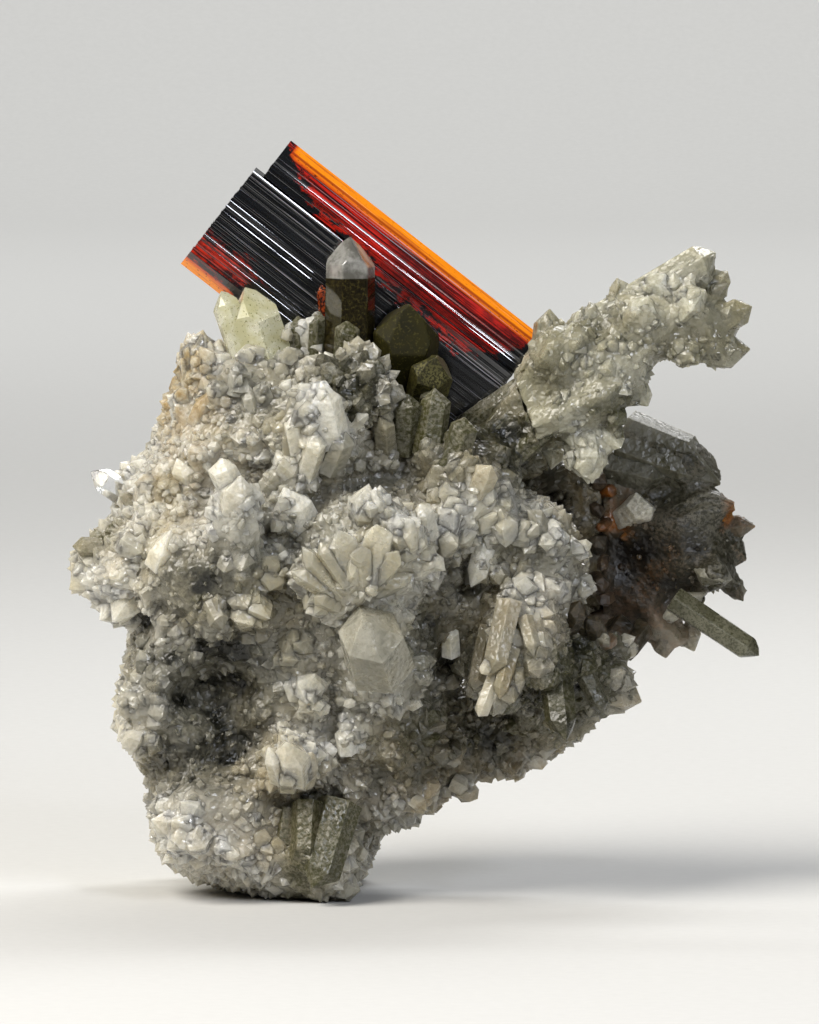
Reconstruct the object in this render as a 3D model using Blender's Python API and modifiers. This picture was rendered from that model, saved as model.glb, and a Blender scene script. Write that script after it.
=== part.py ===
"""Brookite on quartz: a tabular brookite blade on a branching mass of intergrown quartz crystals.

Sizes are in millimetres in the front view: u to the right, v up from the foot, d away from the viewer.
"""

import math
import random

import bmesh
import bpy
from mathutils import Matrix, Vector
from mathutils.bvhtree import BVHTree

MM = 0.001
VIEW_DIP = 0.07  # the front view looks down by 4 degrees, so a point rises this much per mm of depth
FOOT = 1.2  # height of the lowest tips that are cut flat, so that the specimen stands
CENTRE = (0.04, -0.23)  # where the finished specimen's middle lies in u and d, which goes over the origin
GAP = 0.3  # clearance between pieces that touch

BLADE_HEADING = 38.0  # degrees that the brookite's length runs down to the right
BLADE_TOP_LEFT = (-9.8, 61.5)
BLADE_LENGTH = 25.6
BLADE_WIDTH = 13.2
BLADE_THICK = 2.6
BLADE_DEPTH = 2.0
UPPER_BLADE_WIDTH = 3.4  # the upper of the two parallel blades, which is the shorter
UPPER_BLADE_SETBACK = 0.9
TOP_BEVEL = 2.0
LOW_BEVEL = 1.3
SEAM_BEVEL = 0.3  # of both blades where they meet
SEAM_OVERLAP = 0.4
UPPER_BLADE_SET_IN = 0.1  # each face of the upper blade lies this much inside the lower one's
EDGE_SHARE = 0.15  # half height of the blades' flat edges, as a share of half their thickness
STRIA_STEP = 0.12

RHOMB_TILT = math.radians(51.8)  # between a quartz crystal's axis and the normal of its end faces
MAJOR_LIFT = (0.0, 0.12)  # how far over the tip the larger end faces start, as a share of the width
MINOR_LIFT = (0.08, 0.3)  # the same for the smaller end faces between them
FLATNESS = 0.85  # of the crystals that are given by place
TAPER = 0.9  # a crystal's width at the top, as a share of its width at the foot
VOXEL = 0.8
KNOB_SIZE = 5.0
KNOB_HEIGHT = 2.2
CORE_TRIANGLES = 740  # of the skin before its crystals are joined to it
SEED = 11
FAR = 60.0  # beyond the specimen on every side
FRONT_DEPTH = -4.0  # where a crystal is seated whose line of sight misses the skin
GROUND_BLOCK = (200.0, 200.0, 40.0)

# Each lump: u, v, d, then half its width, depth and height.
MATRIX_LUMPS = [
    (-10, 25, 0, 12, 12, 15),
    (-3, 27, -3, 9.5, 8, 10),
    (-14, 37, -1, 6.4, 8.5, 7),
    (-7, 38, -1, 7, 8.5, 6.2),
    (-10.5, 36, 7, 6.5, 7, 6.5),
    (-18.8, 32, -1.5, 5.2, 8, 5.2),
    (-21.8, 27.3, -3, 5.6, 7, 3.8),
    (-17, 31.5, 8, 6, 7.5, 6.2),
    (-18.9, 24.4, 5.5, 4.6, 6.5, 5.2),
    (-14.5, 23, 10.5, 6.8, 7, 7.6),
    (-18.2, 17.5, -4, 5, 7.5, 6.6),
    (-21.3, 15.4, -4, 2.4, 6, 3.6),
    (-17.6, 14, 6, 5.4, 7, 5.6),
    (-15.3, 8, -2, 6, 9, 6),
    (-16, 7.4, -7, 5.4, 6, 4.2),
    (-12, 8.5, 9, 7, 7, 7.6),
    (-10, 5.2, 0, 6.5, 11, 5.2),
    (-7.2, 5, 8, 4.4, 6, 5.4),
    (-6.9, 3.8, -7, 3, 5, 3.8),
    (-9.6, 12.2, -7, 3.4, 5.6, 3.4),
    (-3.4, 13.5, -1, 9, 8, 7.5),
    (6.6, 14.2, 1, 6.6, 4.6, 3.9),
    (11.2, 16, -1, 4, 4.2, 3.4),
    (4, 33.5, -5, 5, 6, 4.6),
    (9.3, 28, -4, 4.6, 5.6, 5),
    (8.5, 21, -7, 4.6, 5.4, 5.6),
    (14.3, 18.8, -2, 3.2, 4.2, 3.4),
    (-3.5, 28, -11, 6, 5, 5.5),
    (-2.6, 20, -9, 4, 5, 4.4),
    (-15.5, 27.5, -9, 6, 5.5, 5),
    (-8, 38, -8, 4.2, 4.5, 4.2),
    (-17, 43.3, 0, 2.1, 4.4, 3.0),
    (-12.2, 43.2, -3, 3, 3.6, 2.8),
]
ROOT_LUMPS = [
    (6.5, 37, -1.5, 2.6, 4, 3),
    (9.5, 40.5, -2, 2.6, 3.6, 2.4),
]
ARM_LUMPS = [
    (10.8, 44, -2.5, 1.9, 3, 2.2),
    (13.5, 43.6, -3, 3, 3.6, 3.6),
    (17.2, 45.4, -3, 3.2, 3.8, 3.4),
    (20.6, 47, -3, 4, 3.8, 3.8),
    (24, 46, -3, 1.9, 3, 2.8),
    (16.3, 42, -3, 2.2, 3.2, 2.6),
    (13.8, 40.3, -3.5, 2.8, 3.6, 3),
    (13.8, 37, -4, 1.9, 2.6, 2.4),
]
WEB_LUMPS = [
    (11, 31.5, 3.6, 4.5, 2.5, 5.5),
    (17.2, 32.4, 5.6, 3.4, 3.4, 5.4),
    (15.5, 26.4, 5.4, 4, 2.6, 4.4),
    (21.8, 29.6, 4, 3.8, 4.5, 4.4),
    (24.4, 28.4, 3.5, 1.8, 3, 3.4),
    (18.2, 24.6, 5.4, 2.8, 3, 3.4),
    (20.4, 21.7, 4.5, 2, 2.4, 1.5),
]
HOLLOWS = [
    (-16, 16.4, -14, 4.6, 8, 4.4),
    (3.4, 24.6, -14, 2.4, 7, 2.0),
    (3.6, 15.6, -12, 3, 7, 1.5),
    (5.5, 25.5, 12.5, 9.5, 8, 9.5),
]

# Crystals seated on the front: u and v of the foot, width, height, then the lean to the right and upwards.
FRONT_POINTS = [
    (-14, 29.5, 4.2, 5.0, 0.0, 2.2),
    (-18.7, 29.2, 2.8, 1.2, -0.2, 0.0),
    (-19.4, 33.4, 2.4, 1.4, -0.5, 0.3),
    (-10, 31.6, 4.0, 2.4, -0.3, -0.5),
    (-9.6, 34.2, 3.8, 2.2, -0.3, 0.6),
    (-7.8, 39.8, 4.6, 2.4, 0.1, 0.8),
    (-4.6, 39.2, 2.8, 1.8, 0.5, 0.3),
    (-5.0, 42.0, 1.8, 1.0, 0.0, 0.4),
    (-7.2, 42.8, 3.2, 1.6, -0.2, 0.8),
    (-13.9, 41.2, 1.5, 3.0, 0.1, 2.5),
    (-15.3, 40.6, 2.0, 2.2, -0.6, 1.5),
    (-12.2, 40.6, 1.6, 1.8, 0.3, 1.2),
    (-16.6, 43.4, 2.6, 1.8, -0.6, 1.0),
    (-18.2, 40.2, 2.8, 1.8, -1.0, 0.8),
    (-17.0, 36.4, 3.0, 1.6, -0.8, 0.4),
    (-12.6, 37.0, 3.2, 1.6, -0.2, 0.5),
    (-4.5, 27.0, 5.0, 4.0, 0.9, 0.9),
    (-7.5, 26.3, 3.6, 3.0, -0.6, 0.6),
    (-1.0, 29.3, 3.4, 3.0, 0.6, 1.2),
    (-3.2, 31.6, 3.2, 2.6, 0.1, 1.6),
    (0.6, 27.3, 2.6, 2.0, 1.2, 0.2),
    (-5.2, 25.2, 3.0, 2.4, 0.0, -0.8),
    (-2.8, 22.4, 5.6, 3.4, 0.2, -1.3),
    (1.2, 26.6, 2.4, 1.6, 0.6, -0.3),
    (3.0, 24.2, 3.2, 1.8, -0.3, 0.5),
    (7.7, 23.8, 2.6, 4.5, -0.7, -1.8),
    (7.4, 19.4, 3.0, 4.6, -0.6, -1.9),
    (9.6, 22.2, 3.0, 3.4, 0.0, -1.2),
    (10.0, 19.4, 3.0, 2.6, 0.3, -1.0),
    (11.5, 17.8, 2.3, 4.4, 0.1, -2.6),
    (13.4, 19.6, 2.6, 2.0, 0.5, -0.4),
    (14.3, 21.3, 2.6, 2.0, 0.6, 0.4),
    (16.4, 18.6, 2.6, 2.0, 1.0, -0.4),
    (16.4, 20.6, 2.2, 1.6, 1.2, 0.8),
    (13.2, 25.6, 2.4, 1.6, 0.4, 0.2),
    (11.0, 25.4, 2.0, 1.0, 0.0, 0.2),
    (9.2, 29.6, 2.6, 2.0, -0.3, 0.9),
    (11.0, 29.0, 2.4, 2.2, 0.4, 1.0),
    (12.6, 28.4, 2.2, 2.0, 1.2, 0.5),
    (7.0, 30.8, 3.0, 2.0, 0.0, 1.0),
    (3.8, 31.0, 3.0, 2.0, -0.2, 0.9),
    (5.6, 28.8, 2.6, 3.2, 0.1, -1.5),
    (2.5, 29.0, 2.6, 1.8, 0.3, 0.2),
    (4.2, 35.4, 2.8, 1.6, 0.4, 0.8),
    (1.6, 36.2, 2.8, 1.8, -0.2, 1.0),
    (3.4, 37.0, 1.6, 1.4, 0.1, 1.2),
    (-10.0, 12.2, 4.2, 2.2, -0.1, 0.2),
    (-4.6, 14.6, 3.0, 2.0, -0.3, -0.6),
    (2.8, 12.9, 3.4, 2.0, 0.3, -0.4),
    (-22.0, 29.4, 4.0, 2.0, -1.0, 0.4),
    (-23.6, 26.6, 4.2, 2.0, -1.4, 0.0),
    (-21.0, 25.4, 4.0, 1.6, -0.5, -0.2),
    (-23.2, 23.8, 3.0, 1.8, -1.4, -0.6),
    (-18.0, 31.7, 4.0, 1.6, -0.3, 0.6),
    (-19.0, 22.8, 3.6, 2.0, -0.4, 0.3),
    (-15.5, 23.2, 3.8, 2.0, 0.0, 0.3),
    (-12.4, 24.6, 3.2, 1.6, 0.2, 0.4),
    (-22.0, 16.6, 3.4, 2.0, -1.2, 0.2),
    (-21.8, 13.6, 3.0, 1.8, -1.2, -0.4),
    (0.5, 9.0, 3.0, 1.4, 0.1, -0.8),
    (4.0, 10.2, 3.0, 1.4, 0.2, -0.8),
    (8.0, 11.4, 3.0, 1.4, 0.4, -0.8),
    (-18.2, 5.8, 4.0, 1.4, -0.6, -0.3),
    (-14.4, 5.0, 4.6, 1.4, 0.0, -0.3),
    (-7.4, 4.2, 5.0, 2.4, 0.3, -0.4),
    (-6.8, 44.0, 1.8, 1.2, 0.0, 1.5),
    (-4.8, 44.2, 1.8, 1.2, 0.1, 1.5),
    (-3.0, 44.2, 1.8, 1.4, 0.2, 1.5),
    (-1.8, 42.8, 1.8, 1.2, 0.6, 1.0),
    (-10.3, 45.4, 1.8, 1.4, 0.2, 1.6),
    (-12.0, 16.2, 3.2, 1.6, 0.4, 0.6),
    (-8.6, 17.6, 3.4, 1.8, -0.2, 0.7),
    (-13.4, 11.0, 2.6, 1.4, -0.2, 0.8),
    (-5.2, 10.0, 3.4, 1.6, 0.2, -0.5),
    (-1.4, 12.4, 3.0, 1.6, 0.3, -0.3),
    (-9.8, 20.4, 3.4, 1.6, -0.3, -0.4),
    (-17.2, 20.6, 2.4, 1.4, 0.0, -0.8),
    (-11.0, 27.4, 3.2, 1.6, 0.2, -0.6),
    (0.4, 19.0, 2.8, 1.6, 0.9, -0.4),
    (-1.6, 16.6, 2.8, 1.6, 0.2, -1.0),
]

# Crystals given by both ends: foot u, v, d, tip u, v, d, and width.
ROOT_POINTS = [
    (-9.0, 43.6, -3.4, -9.1, 47.4, -3.8, 1.6),
    (-7.8, 43.6, -3.6, -7.6, 47.8, -4.2, 1.9),
    (-5.3, 43.4, -5.6, -5.2, 46.9, -6.4, 1.9),
    (1.0, 39.4, -4.8, 1.3, 41.4, -6.8, 1.5),
    (13.4, 17.6, -2, 18.3, 17.0, -3, 3.4),
    (14.0, 20.0, -2, 18.0, 21.0, -2.8, 2.6),
    (-16.4, 42.4, 0, -18.9, 44.6, -1.2, 3.0),
    (-8, 30, 8, -10.5, 33.5, 18.5, 5.6),
    (-12, 22, 9, -15, 19.5, 18.5, 4.8),
    (-4, 20, 4, -1.2, 22.5, 12.6, 4.2),
    (-11, 37, 9, -12.4, 41.5, 16, 4.2),
    (-10, 10, 9, -7.6, 9, 18, 5),
    (0, 30, 1, 3.2, 33, 8.4, 3.8),
    (-17, 29, 10, -21.5, 29.5, 16.5, 4.4),
    (-18, 15, 8, -21.5, 17, 13, 3.8),
    (-2, 12, 3, 0.4, 12.4, 10.5, 4.2),
    (-7, 26, 9, -4.4, 27.6, 14.6, 3.6),
    (4.6, 36.2, -4, 10.8, 43.2, -2.6, 2.0),
    (7, 35.2, -3.5, 13, 41, -5, 2.4),
    (6.8, 31.5, -1.5, 7.6, 40.6, -0.5, 3.0),
    (9.2, 38.4, -5, 17.2, 41.8, -6.5, 3.0),
    (4.4, 38.4, -1.5, 10, 42.4, -2, 2.6),
    (8.2, 35.8, -2, 9.8, 37.2, -3, 0.9),
]
ARM_POINTS = [
    (15.4, 46.9, -3, 24.2, 52.3, -3.5, 3.2),
    (15.6, 47.2, -3, 16.5, 50.4, -3, 1.6),
    (23.4, 48, -3, 24.9, 51.1, -3, 1.8),
    (23.6, 46.4, -3, 27, 48.2, -4, 2.2),
    (23.6, 44.6, -3, 26.9, 44.3, -3.5, 2.8),
    (10.6, 44, -3, 10.9, 48, -3.5, 2.4),
    (13, 44.4, -3, 14.8, 48.6, -2.5, 3.2),
    (18.6, 46.8, -4, 17.6, 47.6, -8, 3.2),
    (13, 45.4, -3, 13, 45.2, -7.6, 2.8),
    (21, 47.4, -4, 23, 49.4, -6.6, 3.0),
    (21, 45, -4, 22.4, 43.6, -7, 2.6),
    (13.6, 38, -4, 14.2, 33.9, -5.4, 3.2),
    (15, 38.4, -4, 16.6, 36.6, -5.6, 2.0),
    (15.6, 41, -3, 16.4, 38.6, -6.6, 1.7),
    (17.2, 43, -3, 18.6, 40, -4, 2.0),
    (18.4, 48, -3, 20.4, 50.6, -4.6, 2.6),
]
GROUP_POINTS = [
    (16.8, 37.3, 5.0, 24.9, 34.2, 3.6, 5.0),
    (15.6, 35.4, 3.6, 20.6, 34.2, 2.6, 2.6),
    (23, 28, 4, 24.6, 26, -1.4, 3.0),
    (21, 31.4, 4, 25.8, 32.4, 1, 3.6),
    (25, 30.4, 4, 27.6, 30.7, 3, 1.9),
    (24.6, 27.4, 4, 26.6, 24.4, 3, 1.8),
    (17.8, 21.4, 4.8, 23.4, 25.4, 2.4, 1.6),
    (22.0, 22.2, 4.4, 22.6, 20.4, 3.4, 1.9),
    (19.6, 22.2, 4.4, 20.6, 20.0, 3.2, 1.9),
    (16.6, 31, 4, 18.9, 32.4, 0.8, 2.4),
    (25, 29, 4, 26.9, 28, 3.2, 2.4),
]
ROOTING = 0.9  # depth of a crystal's foot under the skin, as a share of its width
SCATTER_COUNT = 36
SCATTER_WIDTH = (3.0, 5.6)
SCATTER_HEIGHT = (0.24, 0.62)  # as a share of the width
SCATTER_SPACING = 0.62  # least distance between neighbours, as a share of their widths together
SCATTER_RIGHT_END = 12.5  # the arm and the grey group have crystals of their own
SCATTER_FLOOR = 2.5  # the lowest seat
SCATTER_JITTER = 0.5  # how far a crystal leans from square to the skin
UNDERSIDE = -0.8  # upward part of a facet's normal under which it counts as the underside

# Slabs that part the branches: u, v, d of the middle, heading in degrees from upright, length and depth.
FORKS = {
    "arm_fork": (9.4, 39.2, 0, -21, 11.5, 22),
    "group_fork": (15.2, 31, 7.7, 0, 22, 13),
}
FORK_BEHIND_ARM = (18.7, 37.5, 1.1, 17.6, 9.5)
BRANCHES = {
    "quartz_matrix": (-6, 25, 14),
    "quartz_arm": (18, 46, -7),
    "grey_quartz_group": (22, 30, 0),
}
SMALLEST_BODY = 20e-9  # cubic metres; crumbs that a cut leaves are smaller

# Seated crystals: foot u, v, d, tip u, v, d, width, roll in degrees and squash.
SEATED = {
    "brookite_splinter": [(-6.5, 43.5, -0.9, -7.3, 49.8, -0.9, 1.3, 0, 0.7)],
    "phantom_quartz_point": [(-5.1, 41.5, -4.0, -4.95, 53.4, -4.0, 3.9, 12, 0.95)],
    "chlorite_quartz_large": [(-1.4, 41.4, -1.4, -0.2, 47.9, -5.8, 5.2, 25, 0.95)],
    "chlorite_quartz_middle": [(0.6, 40.2, -3.2, 1.9, 43.8, -7.2, 3.2, 5, 0.95)],
    "pale_quartz_pair": [
        (-11.2, 42.6, -2.6, -13.3, 49.3, -3.6, 4.2, 10, 0.95),
        (-13.4, 44.0, -3.2, -15.3, 49.2, -3.6, 2.2, 30, 0.95),
    ],
    "clear_quartz_point": [(-21.6, 32.2, -2, -25.6, 34.8, -2.8, 2.1, 0, 0.9)],
    "lone_quartz_prism": [(20.9, 24.7, 0.6, 27.6, 20.2, -0.6, 2.2, 15, 0.9)],
}
CLEARNESS = {"phantom_quartz_point": 0.6, "clear_quartz_point": 0.95, "pale_quartz_pair": 0.3}
DRUSE_ROUGHNESS = 0.45
BROOKITE_ROUGHNESS = 0.15
CRYSTAL_ROUGHNESS = 0.2
COLOURS = {
    "quartz_matrix": (0.62, 0.59, 0.5),
    "quartz_arm": (0.56, 0.54, 0.46),
    "grey_quartz_group": (0.15, 0.14, 0.11),
    "brookite_crystal": (0.16, 0.02, 0.01),
    "brookite_splinter": (0.2, 0.05, 0.02),
    "phantom_quartz_point": (0.5, 0.5, 0.45),
    "chlorite_quartz_large": (0.06, 0.06, 0.02),
    "chlorite_quartz_middle": (0.12, 0.12, 0.05),
    "pale_quartz_pair": (0.5, 0.52, 0.36),
    "clear_quartz_point": (0.8, 0.82, 0.84),
    "lone_quartz_prism": (0.2, 0.2, 0.15),
}
LOWER_STRIAE = (2.4, 3.6, 4.3, 5.8, 7.1, 8.2)
UPPER_STRIAE = (10.3, 10.9)


def spot(u, v, d):
    """The point, in metres, that the front view shows at u and v, d behind the middle plane."""
    return Vector((u, d, v - FOOT - VIEW_DIP * d)) * MM


def clear_scene():
    for obj in list(bpy.data.objects):
        bpy.data.objects.remove(obj, do_unlink=True)


def new_collection(name):
    collection = bpy.data.collections.new(name)
    bpy.context.scene.collection.children.link(collection)
    return collection


def object_from(bm, name, collection):
    mesh = bpy.data.meshes.new(name)
    bm.to_mesh(mesh)
    bm.free()
    obj = bpy.data.objects.new(name, mesh)
    collection.objects.link(obj)
    return obj


def helper(obj):
    """Marks a cutter or a shape that is joined into another."""
    obj.hide_render = True
    obj.display_type = "WIRE"
    return obj


def applied(obj):
    """Replaces the object's mesh by what its modifiers make of it."""
    bpy.context.view_layer.update()
    graph = bpy.context.evaluated_depsgraph_get()
    mesh = bpy.data.meshes.new_from_object(obj.evaluated_get(graph))
    obj.modifiers.clear()
    obj.data = mesh
    return obj


def boolean(obj, operation, other):
    """Adds a Boolean with one object, or with all of a collection."""
    modifier = obj.modifiers.new(operation.title(), "BOOLEAN")
    modifier.operation = operation
    modifier.solver = "EXACT"
    if isinstance(other, bpy.types.Collection):
        modifier.operand_type = "COLLECTION"
        modifier.collection = other
    else:
        modifier.object = other


def along(axis, roll=0.0):
    """A turn that carries +Z to the axis, after a roll about +Z in degrees."""
    turn = axis.to_track_quat("Z", "Y").to_matrix().to_4x4()
    return turn @ Matrix.Rotation(math.radians(roll), 4, "Z")


def quartz_point(foot, tip, width, roll, squash, seed, grow=0.0):
    """A quartz crystal: a six-sided prism, a little narrower upwards, cut by six end faces.

    Three of the end faces reach the tip and the three between them are set back by a random step.
    """
    rng = random.Random(seed)
    axis = tip - foot
    length = axis.length + grow * MM
    radius = (width / 2 + grow) * MM / math.cos(math.pi / 6)
    depth = length + width * MM
    bm = bmesh.new()
    bmesh.ops.create_cone(
        bm,
        cap_ends=True,
        segments=6,
        radius1=radius,
        radius2=radius * TAPER,
        depth=depth,
        matrix=Matrix.Translation((0, 0, depth / 2 - grow * MM)),
    )
    for side in range(6):
        angle = math.radians(60 * side)
        lift = rng.uniform(*(MINOR_LIFT if side % 2 else MAJOR_LIFT))
        normal = Vector((
            math.cos(angle) * math.sin(RHOMB_TILT),
            math.sin(angle) * math.sin(RHOMB_TILT),
            math.cos(RHOMB_TILT),
        ))
        point = Vector((0, 0, length + lift * width * MM))
        cut = bmesh.ops.bisect_plane(
            bm,
            geom=bm.verts[:] + bm.edges[:] + bm.faces[:],
            plane_co=point,
            plane_no=normal,
            clear_outer=True,
        )
        rim = [part for part in cut["geom_cut"] if isinstance(part, bmesh.types.BMEdge)]
        if rim:
            bmesh.ops.contextual_create(bm, geom=rim)
    place = Matrix.Translation(foot) @ along(axis.normalized(), roll)
    bmesh.ops.transform(bm, matrix=place @ Matrix.Diagonal((1, squash, 1, 1)), verts=bm.verts)
    bmesh.ops.recalc_face_normals(bm, faces=bm.faces)
    return bm


def ellipsoid(name, row, detail, collection):
    u, v, d, wide, deep, high = row
    size = Matrix.Diagonal((wide * MM, deep * MM, high * MM, 1))
    bm = bmesh.new()
    bmesh.ops.create_icosphere(
        bm, subdivisions=detail, radius=1, matrix=Matrix.Translation(spot(u, v, d)) @ size
    )
    return helper(object_from(bm, name, collection))


def remesh(obj):
    """Melts what overlaps into one closed skin."""
    modifier = obj.modifiers.new("Skin", "REMESH")
    modifier.mode = "VOXEL"
    modifier.voxel_size = VOXEL * MM


def skin_of(rows, hollows, skins, cutters):
    """Ellipsoids melted into one skin, hollowed, roughened by broad knobs and thinned to flat facets."""
    lumps = [ellipsoid(f"lump_{number}", row, 3, skins) for number, row in enumerate(rows)]
    bm = bmesh.new()
    for lump in lumps:
        bm.from_mesh(lump.data)
    obj = helper(object_from(bm, "quartz", skins))
    remesh(obj)
    for number, row in enumerate(hollows):
        boolean(obj, "DIFFERENCE", ellipsoid(f"hollow_{number}", row, 2, cutters))
    remesh(obj)
    texture = bpy.data.textures.new("Knobs", "CLOUDS")
    texture.noise_scale = KNOB_SIZE * MM
    texture.noise_depth = 1
    knobs = obj.modifiers.new("Knobs", "DISPLACE")
    knobs.texture = texture
    knobs.texture_coords = "LOCAL"
    knobs.strength = KNOB_HEIGHT * MM
    remesh(obj)
    applied(obj)
    thin = obj.modifiers.new("Thin", "DECIMATE")
    thin.ratio = CORE_TRIANGLES / (2 * len(obj.data.polygons))
    return applied(obj)


def surface_tree(obj):
    return BVHTree.FromPolygons(
        [vertex.co for vertex in obj.data.vertices],
        [polygon.vertices for polygon in obj.data.polygons],
    )


def front_of(tree, u, v):
    """Where a line of sight at u and v first meets the skin, or the skin's nearest point to it."""
    start = spot(u, v, -FAR)
    hit = tree.ray_cast(start, (spot(u, v, FAR) - start).normalized())[0]
    return hit or tree.find_nearest(spot(u, v, FRONT_DEPTH))[0]


def grow_front_points(tree, collection):
    """Crystals that stand on the front of the skin, each rooted under it. Gives their seats and widths."""
    seats = []
    for number, (u, v, width, height, right, up) in enumerate(FRONT_POINTS):
        seat = front_of(tree, u, v)
        lean = Vector((right, -1, up)).normalized()
        foot = seat - lean * (ROOTING * width * MM)
        tip = seat + lean * height * MM
        bm = quartz_point(foot, tip, width, roll=37 * number, squash=FLATNESS, seed=number)
        helper(object_from(bm, f"front_point_{number}", collection))
        seats.append((seat, width * MM))
    return seats


def grow_given_points(rows, name, collection):
    for number, (u, v, d, tip_u, tip_v, tip_d, width) in enumerate(rows):
        foot = spot(u, v, d)
        tip = spot(tip_u, tip_v, tip_d)
        bm = quartz_point(foot, tip, width, roll=53 * number, squash=FLATNESS, seed=number)
        helper(object_from(bm, f"{name}_{number}", collection))


def outside(tree, point):
    """True where the front view doesn't see the point against the skin."""
    sight = spot(0, 0, 1) - spot(0, 0, 0)
    return tree.ray_cast(point - sight * FAR, sight)[0] is None


def grow_scattered_points(obj, tree, seats, collection):
    """Crystals strewn over the rest of the skin, roughly square to it and clear of the given seats.

    None of them breaks the outline that the front view sees.
    """
    rng = random.Random(SEED)
    obj.data.calc_loop_triangles()
    triangles = obj.data.loop_triangles
    weights = [triangle.area for triangle in triangles]
    corners = [vertex.co for vertex in obj.data.vertices]
    taken = list(seats)
    while len(taken) < len(seats) + SCATTER_COUNT:
        triangle = rng.choices(triangles, weights=weights)[0]
        a, b, c = (corners[index] for index in triangle.vertices)
        first, second = sorted((rng.random(), rng.random()))
        seat = a * first + b * (second - first) + c * (1 - second)
        width = rng.uniform(*SCATTER_WIDTH) * MM
        height = rng.uniform(*SCATTER_HEIGHT) * width
        jitter = Vector([rng.uniform(-SCATTER_JITTER, SCATTER_JITTER) for _ in range(3)])
        roll = rng.uniform(0, 60)
        lean = (Vector(triangle.normal) + jitter).normalized()
        beyond = seat.x > SCATTER_RIGHT_END * MM
        beneath = seat.z < SCATTER_FLOOR * MM or triangle.normal[2] < UNDERSIDE
        spacing = SCATTER_SPACING
        crowded = any((seat - other).length < spacing * (width + wide) for other, wide in taken)
        if beyond or beneath or crowded or outside(tree, seat + lean * height):
            continue
        bm = quartz_point(
            seat - lean * ROOTING * width,
            seat + lean * height,
            width / MM,
            roll=roll,
            squash=rng.uniform(0.75, 1),
            seed=len(taken),
        )
        helper(object_from(bm, f"scatter_{len(taken)}", collection))
        taken.append((seat, width))


def box(name, centre, size, turn, collection):
    """A cutting block: centre and size in metres, turned by a matrix."""
    bm = bmesh.new()
    place = Matrix.Translation(centre) @ turn.to_4x4() @ Matrix.Diagonal((*size, 1))
    bmesh.ops.create_cube(bm, size=1, matrix=place)
    return helper(object_from(bm, name, collection))


def fork_cuts(collection):
    """Thin slabs where the arm and the grey group branch off, and between those two."""
    cutters = []
    for name, (u, v, d, heading, length, deep) in FORKS.items():
        turn = Matrix.Rotation(math.radians(heading), 3, "Y")
        size = Vector((GAP, deep, length)) * MM
        cutters.append(box(name, spot(u, v, d), size, turn, collection))
    u, v, d, wide, high = FORK_BEHIND_ARM
    size = Vector((wide, GAP, high)) * MM
    cutters.append(box("behind_arm", spot(u, v, d), size, Matrix.Identity(3), collection))
    return cutters


def islands(obj):
    """The closed bodies of a mesh, as lists of face numbers."""
    mesh = obj.data
    parent = list(range(len(mesh.vertices)))

    def root(index):
        while parent[index] != index:
            parent[index] = parent[parent[index]]
            index = parent[index]
        return index

    for edge in mesh.edges:
        first, second = edge.vertices
        parent[root(first)] = root(second)
    found = {}
    for polygon in mesh.polygons:
        found.setdefault(root(polygon.vertices[0]), []).append(polygon.index)
    return list(found.values())


def body_volume(mesh, faces):
    """Signed volume: positive for an outer surface, negative for a sealed hollow."""
    total = 0.0
    for index in faces:
        corners = [mesh.vertices[vertex].co for vertex in mesh.polygons[index].vertices]
        for second, third in zip(corners[1:-1], corners[2:]):
            total += corners[0].dot(second.cross(third)) / 6
    return total


def split_bodies(obj, names, collection):
    """Makes one object of each named body, the one whose skin lies nearest to its given place."""
    mesh = obj.data
    bodies = [faces for faces in islands(obj) if body_volume(mesh, faces) > SMALLEST_BODY]
    made = {}
    for name, place in names.items():
        def distance(faces):
            return min((mesh.polygons[index].center - place).length for index in faces)

        faces = set(min(bodies, key=distance))
        bm = bmesh.new()
        bm.from_mesh(mesh)
        bm.faces.ensure_lookup_table()
        others = [face for face in bm.faces if face.index not in faces]
        bmesh.ops.delete(bm, geom=others, context="FACES")
        made[name] = object_from(bm, name, collection)
    return made


def outline_bar(outline, length):
    """A flat outline drawn out along Z: a closed mesh of it."""
    curve = bpy.data.curves.new("outline", "CURVE")
    curve.dimensions = "2D"
    curve.fill_mode = "BOTH"
    curve.extrude = length / 2
    spline = curve.splines.new("POLY")
    spline.points.add(len(outline) - 1)
    for point, (x, y) in zip(spline.points, outline):
        point.co = (x, y, 0, 1)
    spline.use_cyclic_u = True
    holder = bpy.data.objects.new("outline", curve)
    bpy.context.scene.collection.objects.link(holder)
    bpy.context.view_layer.update()
    graph = bpy.context.evaluated_depsgraph_get()
    mesh = bpy.data.meshes.new_from_object(holder.evaluated_get(graph))
    bm = bmesh.new()
    bm.from_mesh(mesh)
    bmesh.ops.remove_doubles(bm, verts=bm.verts, dist=1e-6)
    bmesh.ops.recalc_face_normals(bm, faces=bm.faces)
    bpy.data.objects.remove(holder, do_unlink=True)
    bpy.data.meshes.remove(mesh)
    return bm


def blade_outline(low, high, half, low_bevel, high_bevel, steps, grow):
    """Cross-section of one blade, x across it and y towards the viewer, with shallow growth steps."""
    front = [(low + low_bevel, half)]
    level = half
    for number, place in enumerate(steps):
        front.append((place, level))
        level = half - STRIA_STEP * ((number + 1) % 2)
        front.append((place + STRIA_STEP, level))
    front.append((high - high_bevel, level))
    edge = EDGE_SHARE * half
    ring = [(low, edge)] + front + [(high, edge)]
    ring += [(x, -y) for x, y in reversed(ring)]
    if not grow:
        return [(x * MM, y * MM) for x, y in ring]
    wide = [(low - grow, -half - grow), (low - grow, half + grow)]
    wide += [(high + grow, half + grow), (high + grow, -half - grow)]
    return [(x * MM, y * MM) for x, y in wide]


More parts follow.
